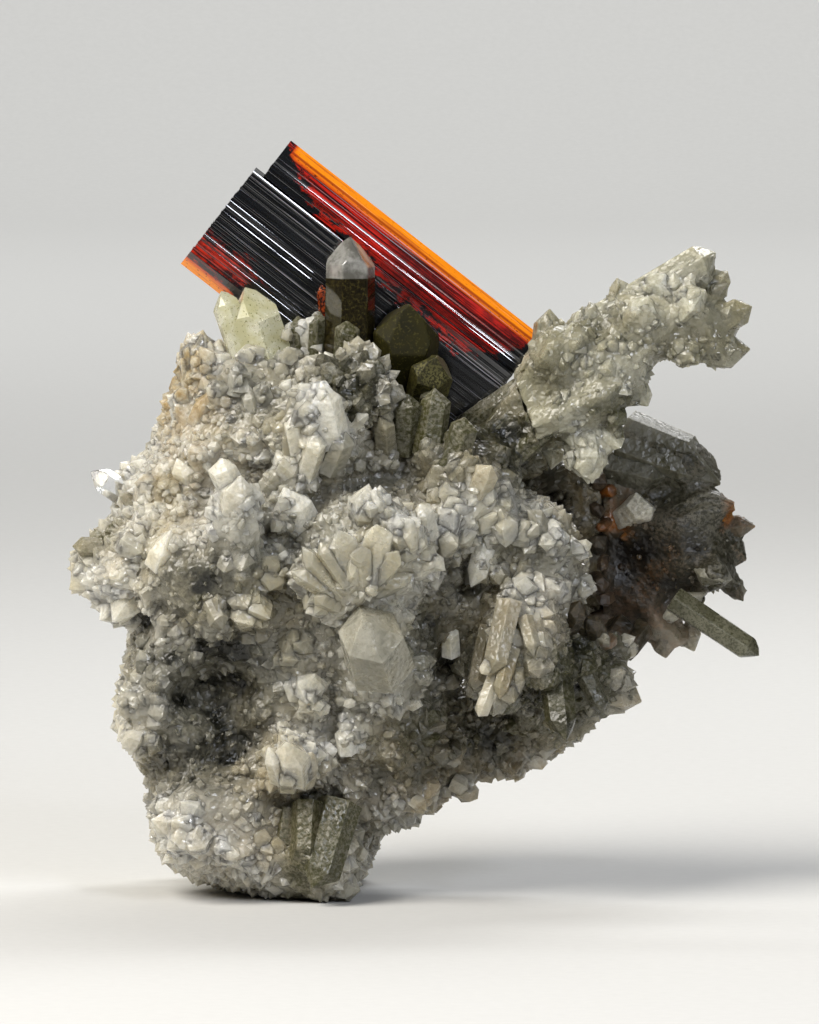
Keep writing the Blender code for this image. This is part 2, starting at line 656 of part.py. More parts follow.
def blade(name, collection, grow=0.0):
    """The brookite: two parallel blades side by side, joined, lying along the heading."""
    seam = BLADE_WIDTH - UPPER_BLADE_WIDTH
    half = BLADE_THICK / 2
    upper_half = half - UPPER_BLADE_SET_IN
    start = seam - SEAM_OVERLAP
    lower = blade_outline(0, seam, half, LOW_BEVEL, SEAM_BEVEL, LOWER_STRIAE, grow)
    upper = blade_outline(start, BLADE_WIDTH, upper_half, SEAM_BEVEL, TOP_BEVEL, UPPER_STRIAE, grow)
    heading = math.radians(BLADE_HEADING)
    ahead = Vector((math.cos(heading), 0, -math.sin(heading)))
    across = Vector((math.sin(heading), 0, math.cos(heading)))
    towards = Vector((0, -1, 0))
    turn = Matrix((across, towards, ahead)).transposed().to_4x4()
    corner = spot(*BLADE_TOP_LEFT, BLADE_DEPTH) - across * BLADE_WIDTH * MM
    made = []
    spans = ((lower, -UPPER_BLADE_SETBACK - grow), (upper, -grow))
    for number, (outline, start) in enumerate(spans):
        stop = BLADE_LENGTH + grow
        bm = outline_bar(outline, (stop - start) * MM)
        middle = corner + ahead * (start + stop) / 2 * MM
        bmesh.ops.transform(bm, matrix=Matrix.Translation(middle) @ turn, verts=bm.verts)
        bmesh.ops.recalc_face_normals(bm, faces=bm.faces)
        made.append(helper(object_from(bm, f"{name}_{number}", collection)))
    boolean(made[0], "UNION", made[1])
    return applied(made[0])


def seated_piece(name, rows, collection, grow=0.0):
    """One crystal, or a few grown together, from rows of foot, tip, width, roll and squash."""
    parts = []
    for number, (u, v, d, tip_u, tip_v, tip_d, width, roll, squash) in enumerate(rows):
        foot = spot(u, v, d)
        tip = spot(tip_u, tip_v, tip_d)
        bm = quartz_point(foot, tip, width, roll, squash, seed=SEED + number, grow=grow)
        parts.append(helper(object_from(bm, f"{name}_{number}", collection)))
    for part in parts[1:]:
        boolean(parts[0], "UNION", part)
    return applied(parts[0])


def material(name, roughness):
    made = bpy.data.materials.new(name)
    made.use_nodes = True
    shader = made.node_tree.nodes["Principled BSDF"]
    shader.inputs["Base Color"].default_value = (*COLOURS[name], 1)
    shader.inputs["Roughness"].default_value = roughness
    shader.inputs["Transmission Weight"].default_value = CLEARNESS.get(name, 0.0)
    return made


def finish(obj, name, collection, roughness):
    """Names the finished piece, centres it and gives it its material and its collection."""
    for holder in list(obj.users_collection):
        holder.objects.unlink(obj)
    collection.objects.link(obj)
    obj.name = name
    obj.data.name = name
    obj.data.transform(Matrix.Translation((-CENTRE[0] * MM, -CENTRE[1] * MM, 0)))
    obj.hide_render = False
    obj.display_type = "TEXTURED"
    obj.data.materials.clear()
    obj.data.materials.append(material(name, roughness))


def build():
    clear_scene()
    specimen = new_collection("brookite_specimen")
    cutters = new_collection("cutters")
    growth = new_collection("growth")
    skins = new_collection("skins")
    cutters.hide_render = growth.hide_render = skins.hide_render = True

    rows = MATRIX_LUMPS + ROOT_LUMPS + ARM_LUMPS + WEB_LUMPS
    skin = skin_of(rows, HOLLOWS, skins, cutters)
    tree = surface_tree(skin)
    seats = grow_front_points(tree, growth)
    grow_given_points(ROOT_POINTS, "root_point", growth)
    grow_given_points(ARM_POINTS, "arm_point", growth)
    grow_given_points(GROUP_POINTS, "group_point", growth)
    grow_scattered_points(skin, tree, seats, growth)
    boolean(skin, "UNION", growth)
    applied(skin)

    ground = Vector(GROUND_BLOCK) * MM
    base = box("ground", Vector((0, 0, -ground.z / 2)), ground, Matrix.Identity(3), cutters)
    boolean(skin, "DIFFERENCE", base)
    for cutter in fork_cuts(cutters):
        boolean(skin, "DIFFERENCE", cutter)
    sockets = {"brookite_crystal": blade("blade_socket", cutters, GAP)}
    for name, rows in SEATED.items():
        sockets[name] = seated_piece(f"{name}_socket", rows, cutters, GAP)
    for socket in sockets.values():
        boolean(skin, "DIFFERENCE", socket)
    applied(skin)

    names = {name: spot(*place) for name, place in BRANCHES.items()}
    for name, obj in split_bodies(skin, names, skins).items():
        finish(obj, name, specimen, DRUSE_ROUGHNESS)
    finish(blade("brookite", skins), "brookite_crystal", specimen, BROOKITE_ROUGHNESS)
    seated = list(SEATED)
    for place, name in enumerate(seated):
        piece = seated_piece(name, SEATED[name], skins)
        for neighbour in ["brookite_crystal"] + seated[:place]:
            boolean(piece, "DIFFERENCE", sockets[neighbour])
        applied(piece)
        finish(piece, name, specimen, CRYSTAL_ROUGHNESS)


build()
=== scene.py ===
"""Brookite on quartz: the finish of every crystal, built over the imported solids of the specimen."""

import math

import bmesh
import bpy
import numpy as np
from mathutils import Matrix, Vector
from mathutils.bvhtree import BVHTree


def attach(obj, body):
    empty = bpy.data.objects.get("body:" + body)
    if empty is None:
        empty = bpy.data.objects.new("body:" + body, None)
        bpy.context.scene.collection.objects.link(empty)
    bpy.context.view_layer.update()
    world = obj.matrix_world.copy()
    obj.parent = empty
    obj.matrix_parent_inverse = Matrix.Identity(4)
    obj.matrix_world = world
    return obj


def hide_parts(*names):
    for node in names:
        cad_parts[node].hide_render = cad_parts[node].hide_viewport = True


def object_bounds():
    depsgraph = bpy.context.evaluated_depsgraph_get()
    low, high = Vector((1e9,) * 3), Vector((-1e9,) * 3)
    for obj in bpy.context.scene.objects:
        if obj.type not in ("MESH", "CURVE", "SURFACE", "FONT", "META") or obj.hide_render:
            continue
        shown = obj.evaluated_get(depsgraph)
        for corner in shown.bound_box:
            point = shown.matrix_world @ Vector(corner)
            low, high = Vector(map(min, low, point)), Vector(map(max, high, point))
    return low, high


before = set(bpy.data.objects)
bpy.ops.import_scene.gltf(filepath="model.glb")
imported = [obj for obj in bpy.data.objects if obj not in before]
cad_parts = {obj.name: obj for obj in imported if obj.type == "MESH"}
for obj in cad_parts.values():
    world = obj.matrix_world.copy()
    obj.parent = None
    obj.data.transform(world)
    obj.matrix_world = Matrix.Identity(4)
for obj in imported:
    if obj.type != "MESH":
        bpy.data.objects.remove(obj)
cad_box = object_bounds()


# The matrix: milky quartz that grew as a mass of small intergrown crystals, with iron stain, green chlorite
# between the crystals and one grey, open-textured hollow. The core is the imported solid, and some ten thousand
# small six-sided points are rooted in it. Places are given as the front view shows them, in millimetres.
MM = 0.001
VIEW_DIP = 0.07  # the front view looks down by 4 degrees
FOOT = 1.2  # height of the lowest tips, which are cut flat
MIDDLE_U = 0.04
MIDDLE_D = -0.23
TABLE_SIZE = 4096
LATTICE_KEYS = np.array([73856093, 19349663, 83492791])  # large primes that number the cells of a lattice
REACH = 2.2 * MM  # over which the lie of the skin is smoothed
MARK_SPACING = 2 * MM
LOW_SKIN_SHADE_AND_DIRT = np.array([0.14, 0.06, 0.42, -0.2])  # painted shade, with some chlorite and iron: what low skin gets for each millimetre
# Painted light: proud skin is made milkier and freer of soot for each millimetre it stands out.
PROUD_SKIN_LIGHT = np.array([0, 0, -0.2, 0.25])

# The cuts that part the solids at the forks: middle, heading, length, depth, and 1 where it faces the viewer.
FORK_CUTS = [
    (9.4, 39.2, 0, -21, 11.5, 22, 0),
    (15.2, 31, 7.7, 0, 22, 13, 0),
    (18.7, 37.5, 1.1, 0, 9.5, 17.6, 1),
]
FORK_SHIFT = 0.24  # millimetres that each side moves up to a cut
NEAR_CUT = 0.5

# Places that no small crystals cover: u, v, d, then half width, height and depth.
CLEAN_PLACES = np.array([
    (-8.2, 4.6, -12, 2.9, 4.2, 9),
    (-3.2, 21.6, -12, 2.2, 2.6, 7),
    (6.4, 19.6, -12, 1.1, 2.8, 7),
    (11.6, 15.8, -9, 1.3, 2.6, 7),
    (20.6, 36.2, 3, 5.2, 3.4, 7),
    (7.6, 38.8, -4, 4, 3.2, 8),
])

# Stains and painted shade: u, v, d, then half width, height and depth, then chlorite, iron, soot and milkiness.
# Some rows lay soot as painted shade in hollows and crevices, and one lays milkiness as painted light.
MATRIX_STAINS_AND_SHADE = [
    (9, 16, -6, 10, 8, 14, 0.5, 0.15, 0.5, -0.1),
    (-12, 8, -6, 10, 6, 14, 0.1, 0.15, 0.2, 0.1),
    (-18.2, 41.5, -3, 3.4, 5.5, 8, 0, 0.55, 0, 0.5),
    (-12.5, 40.5, -6, 4, 3.6, 8, 0.1, 0, 0.15, -0.6),
    (-6, 41, -8, 3.2, 3.4, 8, 0.25, 0, 0.1, 0.7),
    (-4.4, 42.9, -7, 3.4, 2, 8, 0.55, 0.1, 0.65, 0),
    (-21, 29, -6, 7, 6, 12, 0.1, 0.2, 0.05, 0.5),
    # Painted light: this row makes the underside of the left overhang milky and pale, against the shade there.
    (-21.4, 24.8, -6, 4, 3.6, 12, 0, 0.08, 0, 0.9),
    (-24.6, 29.6, -4, 2.2, 1.6, 6, 0.7, 0.1, 0, 0),
    (-19.5, 33.5, -6, 2, 1.4, 6, 0.35, 0.35, 0, 0),
    # Painted shade: the next three rows darken the left hollow with soot and take away its milkiness.
    (-15.8, 26.2, -10, 4.8, 2.6, 9, 0.6, 0, 1, -0.5),
    (-16.5, 15.5, -10, 6.8, 7.4, 12, 0.3, 0.05, 1, -0.8),
    (-17, 20.4, -10, 5, 2, 8, 0.25, 0, 0.9, -0.3),
    (-10.5, 12.4, -10, 3.4, 2.8, 8, 0.05, 0.2, 0, 0.5),
    (-22.8, 15, -4, 2.6, 4, 8, 0, 0.12, 0, 0.6),
    (-15.5, 4.5, -6, 7, 4.6, 14, 0, 0.2, 0, 0.8),
    (-7.2, 4.2, -8, 3.6, 4.2, 8, 0.95, 0.15, 0.55, -0.6),
    (-5, 4.4, -8, 0.9, 2.6, 8, 0, 0.1, 0, 1),
    (-6.2, 1.9, -8, 0.9, 0.9, 8, 0, 0.1, 0, 0.9),
    (-6, 28.5, -12, 6, 4.6, 8, 0.05, 0, 0.05, -0.2),
    (-3, 22.4, -12, 3.4, 3.4, 8, 0.35, 0.1, 0, 0.4),
    (-0.6, 20.8, -10, 2.4, 3, 8, 0.5, 0, 0.2, 0),
    (-5.6, 13.5, -10, 2.4, 2, 8, 0, 0, 0, 0.8),
    (-7.8, 15.4, -10, 3.2, 4, 8, 0, 0, 0, 0.5),
    (2.8, 13.2, -8, 4, 2.6, 8, 0.65, 0.15, 0.1, -0.4),
    (4, 11, -6, 9, 2, 14, 0.3, 0.3, 0.6, -0.2),
    (3, 8.6, -6, 6, 1.3, 14, 0.2, 0.35, 0.2, 0.3),
    (10, 11.6, -6, 5, 1.2, 14, 0.1, 0.35, 0.1, 0.5),
    (1.6, 37.4, -8, 3.6, 3.8, 8, 0.6, 0.15, 0.55, 0),
    (7.4, 37.8, -4, 4.8, 4, 9, 0.9, 0.15, 0.9, -0.4),
    (4.6, 29.6, -9, 5, 3.6, 8, 0.15, 0, 0.05, 0.3),
    (8.4, 28, -9, 4.6, 3, 8, 0.2, 0, 0.15, -0.3),
    (9.6, 22.4, -11, 4, 3.6, 8, 0.22, 0.25, 0, 0.3),
    # Painted shade: the next two rows darken the hollow where the matrix meets the grey group with soot.
    (12.4, 18.4, -6, 4.6, 3.8, 8, 0.9, 0.1, 0.8, -0.5),
    (13, 30, 4, 5.4, 7, 8, 0.4, 0.5, 0.95, -0.5),
    (2.6, 22.6, -8, 2.6, 3.4, 6, 0.2, 0.1, 0.6, -0.2),
    (-1, 12.6, -8, 5, 2.4, 8, 0.4, 0.15, 0.45, -0.2),
    (6.6, 13.6, -6, 3.6, 1.8, 6, 0.5, 0.2, 0.8, -0.4),
]


def spot(u, v, d):
    """The point, in metres, that the front view shows at u and v, d behind the middle plane."""
    return np.stack([u - MIDDLE_U, d - MIDDLE_D, v - FOOT - VIEW_DIP * d], axis=-1) * MM


def seen_at(points):
    """The u, v and d, in millimetres, of points in metres: the way back from spot."""
    x, y, z = np.moveaxis(points / MM, -1, 0)
    d = y + MIDDLE_D
    return np.stack([x + MIDDLE_U, z + FOOT + VIEW_DIP * d, d], axis=-1)


def soft_noise(points, size, seed):
    """Smooth noise from -1 to 1: random values on a cubic lattice of that size, eased and mixed in between."""
    table = np.random.default_rng(seed).uniform(-1, 1, TABLE_SIZE)
    place = points / size
    cell = np.floor(place).astype(np.int64)
    part = place - cell
    part = part * part * (3 - 2 * part)
    total = np.zeros(points.shape[:-1])
    for corner in np.ndindex(2, 2, 2):
        weight = np.prod(np.where(np.array(corner) == 1, part, 1 - part), axis=-1)
        total += weight * table[(cell + corner) @ LATTICE_KEYS % TABLE_SIZE]
    return total


def stains_and_shade_at(points, proud, rows, seed):
    """Chlorite, iron, soot and milkiness at each point.

    Each row adds its own amounts inside a soft-edged ellipsoid, and broad noise adds a little everywhere. Where
    the skin lies lower than the skin around it, soot with some chlorite and iron is added as painted shade, and
    the
    proud tips are painted lighter: milky and clean.
    """
    seen = seen_at(points) + np.stack([
        1.2 * soft_noise(points, 3 * MM, seed + k) + 0.7 * soft_noise(points, 0.9 * MM, seed + k)
        for k in range(3)
    ], -1)
    broad = [soft_noise(points, 9 * MM, seed + 10 + k) for k in range(4)]
    fine = soft_noise(points, 2.5 * MM, seed + 20)
    stains = np.stack([
        np.clip(0.35 * broad[0] + 0.15 * fine - 0.05, 0, 1),
        np.clip(0.3 * broad[1] + 0.12 * fine - 0.06, 0, 1),
        np.clip(0.25 * broad[2] - 0.1, 0, 1),
        0.35 * broad[3],
    ], axis=-1)
    for u, v, d, wide, high, deep, *amounts in rows:
        away = np.linalg.norm((seen - (u, v, d)) / (wide, high, deep), axis=-1)
        inside = np.clip(1.5 - away, 0, 1)[:, None]
        stains = stains * (1 - 0.6 * inside) + inside * np.array(amounts)
    # Painted shade on low skin, and painted light on proud skin.
    low = np.clip(-proud / MM - 0.1, 0, 1.4)[:, None]
    stains = stains + low * LOW_SKIN_SHADE_AND_DIRT + np.clip(proud / MM, 0, 1)[:, None] * PROUD_SKIN_LIGHT
    return np.clip(stains, (0, 0, 0, -1), 1)


def link_up(name, data):
    """A new object of that mesh, light or camera, linked to the scene."""
    piece = bpy.data.objects.new(name, data)
    bpy.context.scene.collection.objects.link(piece)
    return piece


def read_points(mesh, kind="co"):
    """The places of a mesh's points, or their normals, one to a row."""
    values = np.empty(len(mesh.vertices) * 3)
    mesh.vertices.foreach_get(kind, values)
    return values.reshape(-1, 3)


def paint(mesh, name, values):
    """Keeps four values for each point of a mesh as a colour attribute."""
    mesh.attributes.new(name, "FLOAT_COLOR", "POINT").data.foreach_set("color", values.ravel())


def skin_of(node):
    """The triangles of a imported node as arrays: corners in metres, unit normals and areas."""
    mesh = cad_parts[node].data
    mesh.calc_loop_triangles()
    index = np.empty(len(mesh.loop_triangles) * 3, np.int32)
    mesh.loop_triangles.foreach_get("vertices", index)
    corners = read_points(mesh)[index.reshape(-1, 3)]
    square = np.cross(corners[:, 1] - corners[:, 0], corners[:, 2] - corners[:, 0])
    doubled = np.linalg.norm(square, axis=1)
    kept = doubled > 1e-12
    return corners[kept], square[kept] / doubled[kept, None], doubled[kept] / 2


def strewn(skin, spacing, rng):
    """Places strewn over the skin by area, thinned until each cube of that spacing holds one."""
    corners, normals, areas = skin
    count = int(7 * areas.sum() / spacing**2)
    pick = rng.choice(len(areas), count, p=areas / areas.sum())
    first, second = rng.random((2, count, 1))
    over = first + second > 1
    first, second = np.where(over, 1 - first, first), np.where(over, 1 - second, second)
    a, b, c = np.moveaxis(corners[pick], 1, 0)
    places = a + first * (b - a) + second * (c - a)
    cells = np.floor(places / spacing + rng.random(3)).astype(np.int64)
    kept = np.unique(cells, axis=0, return_index=True)[1]
    rng.shuffle(kept)
    return places[kept], normals[pick[kept]]


def lie_of(places, marks, mark_normals):
    """The smoothed normal at each place, and how far it stands proud of the skin around it, in metres.

    Both are means over the marks, weighted by a bell curve of their distance, whose width is REACH.
    """
    smooth, proud = [], []
    for start in range(0, len(places), 500):
        gap = places[start:start + 500, None] - marks
        weight = np.exp(-(gap**2).sum(-1) / (2 * REACH**2)) + 1e-9
        weight /= weight.sum(1, keepdims=True)
        mean = weight @ mark_normals
        mean /= np.linalg.norm(mean, axis=1, keepdims=True)
        smooth.append(mean)
        proud.append(np.einsum("ij,ijk,ik->i", weight, gap, mean))
    return np.concatenate(smooth), np.concatenate(proud)


def unit(vectors):
    return vectors / np.linalg.norm(vectors, axis=-1, keepdims=True)


CORNERS = 13  # of a quartz point: six at the foot, six at the shoulder and the tip
TAPER = 0.92  # width at the shoulder, as a share of the width at the foot


def points_mesh(name, feet, axes, widths, lengths, stains, rng):
    """Six-sided quartz points as one mesh, all worked out at once.

    Each is a prism with six corners at the foot and six at the shoulder, a little narrower, that close in six
    end faces at a tip. The shoulder's corners lie at unequal heights and the tip lies off the axis, as natural
    end faces are unequal. The growth map holds the way round in sides and the share of the height.
    """
    count = len(feet)
    side = unit(np.cross(axes, unit(rng.normal(size=(count, 3)))))
    other = np.cross(axes, side)
    turn = np.arange(6) * math.pi / 3
    radius = widths / math.sqrt(3)
    flat = rng.uniform(0.72, 1, count)
    squashed = np.sin(turn)[:, None] * other[:, None] * flat[:, None, None]
    ring = (np.cos(turn)[:, None] * side[:, None] + squashed) * radius[:, None, None]
    crown = widths * rng.uniform(0.35, 0.65, count)
    rise = lengths[:, None] - crown[:, None] * rng.uniform(0.7, 1.35, (count, 6))
    rise = np.maximum(rise, 0.15 * lengths[:, None])
    shift = side * rng.uniform(-0.16, 0.16, (count, 1)) + other * rng.uniform(-0.16, 0.16, (count, 1))
    foot = feet[:, None] + ring
    shoulder = feet[:, None] + ring * TAPER + axes[:, None] * rise[..., None]
    tip = (feet + axes * lengths[:, None] + shift * widths[:, None])[:, None]
    vertices = np.clip(np.concatenate([foot, shoulder, tip], axis=1).reshape(-1, 3), *cad_box)

    k = np.arange(6)
    after = (k + 1) % 6
    quads = np.stack([k, after, 6 + after, 6 + k], -1).ravel()
    ends = np.stack([6 + k, 6 + after, np.full(6, 12)], -1).ravel()
    pattern = np.concatenate([quads, ends, k[::-1]])
    loops = (pattern + CORNERS * np.arange(count)[:, None]).ravel()
    sizes = np.tile(np.array([4] * 6 + [3] * 6 + [6]), count)

    mesh = bpy.data.meshes.new(name)
    mesh.vertices.add(len(vertices))
    mesh.vertices.foreach_set("co", vertices.ravel())
    mesh.loops.add(len(loops))
    mesh.loops.foreach_set("vertex_index", loops)
    mesh.polygons.add(len(sizes))
    mesh.polygons.foreach_set("loop_start", np.concatenate([[0], np.cumsum(sizes)[:-1]]))
    sides = np.stack([k, k + 1, k + 1, k], -1)
    around = np.concatenate([sides.ravel(), np.stack([k, k + 1, k + 0.5], -1).ravel(), k])
    climb = np.concatenate([np.tile([0, 0, 0.7, 0.7], 6), np.tile([0.7, 0.7, 1.0], 6), np.zeros(6)])
    growth = mesh.uv_layers.new(name="growth")
    growth.data.foreach_set("uv", np.tile(np.stack([around, climb], -1).ravel(), count))
    paint(mesh, "stain", np.repeat(stains, CORNERS, axis=0))
    mesh.update(calc_edges=True)
    mesh.validate()
    mesh.shade_flat()
    return link_up(name, mesh)


def facet_height(points, size, seed):
    """Heights from 0 to 1 that look like the tips of crowded crystals.

    Space holds one jittered seed to each cube of that size, and every seed has three random axes. A point
    belongs to the seed that is nearest by the largest of its three coordinates along those axes, and the height
    falls off with that coordinate, which gives each seed a blunt tip with flat faces.
    """
    table = np.random.default_rng(seed)
    jitter = table.random((TABLE_SIZE, 3))
    frames = np.linalg.qr(table.normal(size=(TABLE_SIZE, 3, 3)))[0]
    cell = np.floor(points / size).astype(np.int64)
    best = np.full(len(points), 9.0)
    for step in np.ndindex(3, 3, 3):
        at = cell + step - 1
        key = at @ LATTICE_KEYS % TABLE_SIZE
        gap = points / size - at - jitter[key]
        best = np.minimum(best, np.abs(np.einsum("ijk,ik->ij", frames[key], gap)).max(1))
    return np.clip(1 - best / 0.8, 0, 1)


def close_forks(points):
    """Moves the points beside each cut between the solids up to the cut, so that no gap shows.

    The real specimen has no cuts: they only part its solids. Each row gives the middle of a cut, its heading
    in the front view, its length and depth, and a flag for the one that faces the viewer.
    """
    for u, v, d, heading, length, deep, facing in FORK_CUTS:
        turn = math.radians(heading)
        rise = np.array([math.sin(turn), 0, math.cos(turn)])
        normal = np.array([0.0, 1, 0]) if facing else np.array([math.cos(turn), 0, -math.sin(turn)])
        third = np.cross(normal, rise)
        gap = (points - spot(u, v, d)) / MM
        off, up, far = gap @ normal, gap @ rise, gap @ third
        reach = np.array([0, length / 2, deep / 2]) + NEAR_CUT
        near = np.all(np.abs(np.stack([off, up, far], -1)) < reach, axis=1)
        points = points - np.where(near, np.sign(off) * FORK_SHIFT, 0)[:, None] * normal * MM
    return points


CORE_FACE = 0.42 * MM  # width of a face of the cores


def core_of(node, name, rows, seed, grain, relief):
    """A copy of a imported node, its skin broken up into the blunt tips of crowded crystals.

    The copy is remeshed to even faces, and its points sink along their normals by the facet heights, so that
    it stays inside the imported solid.
    """
    rough = link_up(name + "_form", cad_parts[node].data.copy())
    remesh = rough.modifiers.new("Even faces", "REMESH")
    remesh.mode = "VOXEL"
    remesh.voxel_size = CORE_FACE
    mesh = bpy.data.meshes.new_from_object(rough.evaluated_get(bpy.context.evaluated_depsgraph_get()))
    bpy.data.objects.remove(rough)
    mesh.name = name
    mesh.materials.clear()
    points = close_forks(read_points(mesh))
    fine = facet_height(points, grain * 0.45 * MM, seed + 1)
    height = 0.7 * facet_height(points, grain * MM, seed) + 0.3 * fine
    proud = lie_of(points, *strewn(skin_of(node), MARK_SPACING, np.random.default_rng(seed)))[1]
    points = points + read_points(mesh, "normal") * ((height - 0.75) * relief * MM)[:, None]
    mesh.vertices.foreach_set("co", np.clip(points, *cad_box).ravel())
    mesh.shade_flat()
    paint(mesh, "stain", stains_and_shade_at(points, proud, rows, seed))
    return link_up(name, mesh)


SUNK = 1.1  # millimetres that the druse hides of a rooted crystal
NEAR_SIDE = -40.0  # before every solid
POINT_EASE = 0.05
SHARP = math.radians(18)


def given_crystals(name, rows, seed):
    """Single large points with softened edges, from rows: foot u, v, d, tip u, v, d, width and stains."""
    rows = np.array(rows, float)
    feet, tips = spot(*rows[:, :3].T), spot(*rows[:, 3:6].T)
    lengths = np.linalg.norm(tips - feet, axis=1)
    piece = points_mesh(name, feet, (tips - feet) / lengths[:, None], rows[:, 6] * MM, lengths, rows[:, 7:],
                        np.random.default_rng(seed))
    ease_edges(piece, POINT_EASE)
    return piece


def ease_edges(piece, ease):
    """Cuts a narrow facet along every sharp edge, as wear does, so that the edges catch the light."""
    bevel = piece.modifiers.new("Eased edges", "BEVEL")
    bevel.width = ease * MM
    bevel.segments = 1
    bevel.limit_method = "ANGLE"
    bevel.angle_limit = SHARP


def rooted_crystals(name, nodes, rows, seed):
    """Single large points, each rooted where a line of sight of the front view meets the nodes.

    A row gives u and v of the foot and of the tip, how far the tip leans to the viewer, the width, and the
    chlorite, iron, soot and milkiness.
    """
    corners = np.concatenate([skin_of(node)[0] for node in nodes])
    index = np.arange(corners.size // 3).reshape(-1, 3)
    tree = BVHTree.FromPolygons(corners.reshape(-1, 3).tolist(), index.tolist())
    sight = Vector((0, 1, -VIEW_DIP)).normalized()
    found_rows = []
    for u, v, tip_u, tip_v, lean, width, *stain in rows:
        starts = spot(u, v, NEAR_SIDE), spot((u + tip_u) / 2, (v + tip_v) / 2, NEAR_SIDE)
        hits = [hit[3] for hit in (tree.ray_cast(Vector(start), sight) for start in starts) if hit[0]]
        depth = NEAR_SIDE + min(hits) / MM if hits else 0.0
        found_rows.append((u, v, depth + 0.6 * width, tip_u, tip_v, depth + SUNK - lean, width, *stain))
    return given_crystals(name, found_rows, seed)


HUB_DEPTH = 2.6  # how far under the skin the sprays start
TALL_SHARE = 0.08
TALL = 1.8


def druse_on(node, name, rows, seed, spacing, size, stand, bare):
    """Small points over a whole node, in sprays that fan out from centres under the skin.

    Most of each crystal is buried, and it stands out by a share of its width. They are larger where a broad
    noise is high. They are left out where the skin stands more than the bare height proud of the skin around
    it, so that the faces of the larger crystals stay clean.
    """
    rng = np.random.default_rng(seed)
    skin = skin_of(node)
    marks, mark_normals = strewn(skin, MARK_SPACING, rng)
    places, normals = strewn(skin, spacing * MM, rng)
    smooth, proud = lie_of(places, marks, mark_normals)
    patch = soft_noise(places, 5 * MM, seed)
    hubs = marks[rng.choice(len(marks), max(4, len(marks) // 7), replace=False)]
    hubs = hubs - lie_of(hubs, marks, mark_normals)[0] * HUB_DEPTH * MM
    nearest = ((places[:, None] - hubs) ** 2).sum(-1).argmin(1)
    spray = unit(places - hubs[nearest])
    axes = unit(spray + 0.5 * smooth + 0.5 * normals + 0.32 * rng.normal(size=places.shape))
    axes = np.where((axes * normals).sum(-1, keepdims=True) < 0.25, normals, axes)
    stains = stains_and_shade_at(places, proud, rows, seed)
    spread = np.exp(np.clip(0.3 * rng.normal(size=len(places)) + 0.9 * patch, -1, 0.5))
    widths = size * MM * (1 - 0.5 * np.clip(stains[:, 2], 0, 1)) * spread
    heights = widths * stand * rng.uniform(0.4, 1.3, len(places))
    heights *= np.where(rng.random(len(places)) < TALL_SHARE, TALL, 1)
    buried = 0.7 * widths
    feet = places - axes * buried[:, None]
    tips = places + axes * heights[:, None]
    apart = (seen_at(places)[:, None] - CLEAN_PLACES[:, :3]) / CLEAN_PLACES[:, 3:]
    kept = np.all(np.linalg.norm(apart, axis=2) > 1, axis=1)
    kept &= (proud < bare * MM) & np.all((tips > cad_box[0]) & (tips < cad_box[1]), axis=1)
    stains[:, 3] = np.clip(stains[:, 3] + rng.normal(0, 0.15, len(places)), -1, 1)
    stains[:, 2] = np.clip(stains[:, 2] * rng.uniform(0.4, 1.3, len(places)), 0, 1)
    stains[:, 0] = np.clip(stains[:, 0] * rng.uniform(0.3, 1.4, len(places)), 0, 1)
    return points_mesh(name, feet[kept], axes[kept], widths[kept], (heights + buried)[kept], stains[kept], rng)


def colour(code):
    """An sRGB hex code as linear red, green, blue and alpha."""
    parts = [int(code[place:place + 2], 16) / 255 for place in (1, 3, 5)]
    return [part / 12.92 if part <= 0.04045 else ((part + 0.055) / 1.055) ** 2.4 for part in parts] + [1.0]


def add_node(tree, kind, inputs=(), **settings):
    """Adds a shader node. Its inputs are given by name, or in the order of its sockets.

    Each is a value or a hex code for the socket, or another node's socket to link to it.
    """
    node = tree.nodes.new("ShaderNode" + kind)
    for name, value in settings.items():
        setattr(node, name, value)
    for key, value in inputs.items() if isinstance(inputs, dict) else enumerate(inputs):
        if isinstance(value, bpy.types.NodeSocket):
            tree.links.new(value, node.inputs[key])
        else:
            node.inputs[key].default_value = colour(value) if isinstance(value, str) else value
    return node


def new_material(name):
    """An empty material, and its tree of nodes."""
    material = bpy.data.materials.new(name)
    material.use_nodes = True
    material.node_tree.nodes.clear()
    return material, material.node_tree


SHARE, UNDER, OVER = 0, 6, 7  # the sockets of a Mix node that hold its share and its two colours


def layer_colours(tree, rows):
    """Colours laid over one another, row by row: the sockets of each tone, and of the share that made it.

    Where a row's pattern goes from low to high, the share eases from least to most, times the carrier if there
    is one. Under and over are hex codes, or the names of tones from earlier rows.
    """
    tones, shares = {}, {}
    for tone, carrier, pattern, low, high, least, most, under, over in rows:
        eased = (pattern, low, high, least, most)
        share = add_node(tree, "MapRange", eased, interpolation_type="SMOOTHSTEP").outputs[0]
        if carrier is not None:
            share = add_node(tree, "Math", (carrier, share), operation="MULTIPLY").outputs[0]
        pair = {UNDER: tones.get(under, under), OVER: tones.get(over, over)}
        tones[tone] = add_node(tree, "Mix", {SHARE: share} | pair, data_type="RGBA").outputs[2]
        shares[tone] = share
    return tones, shares


QUARTZ_IOR = 1.544


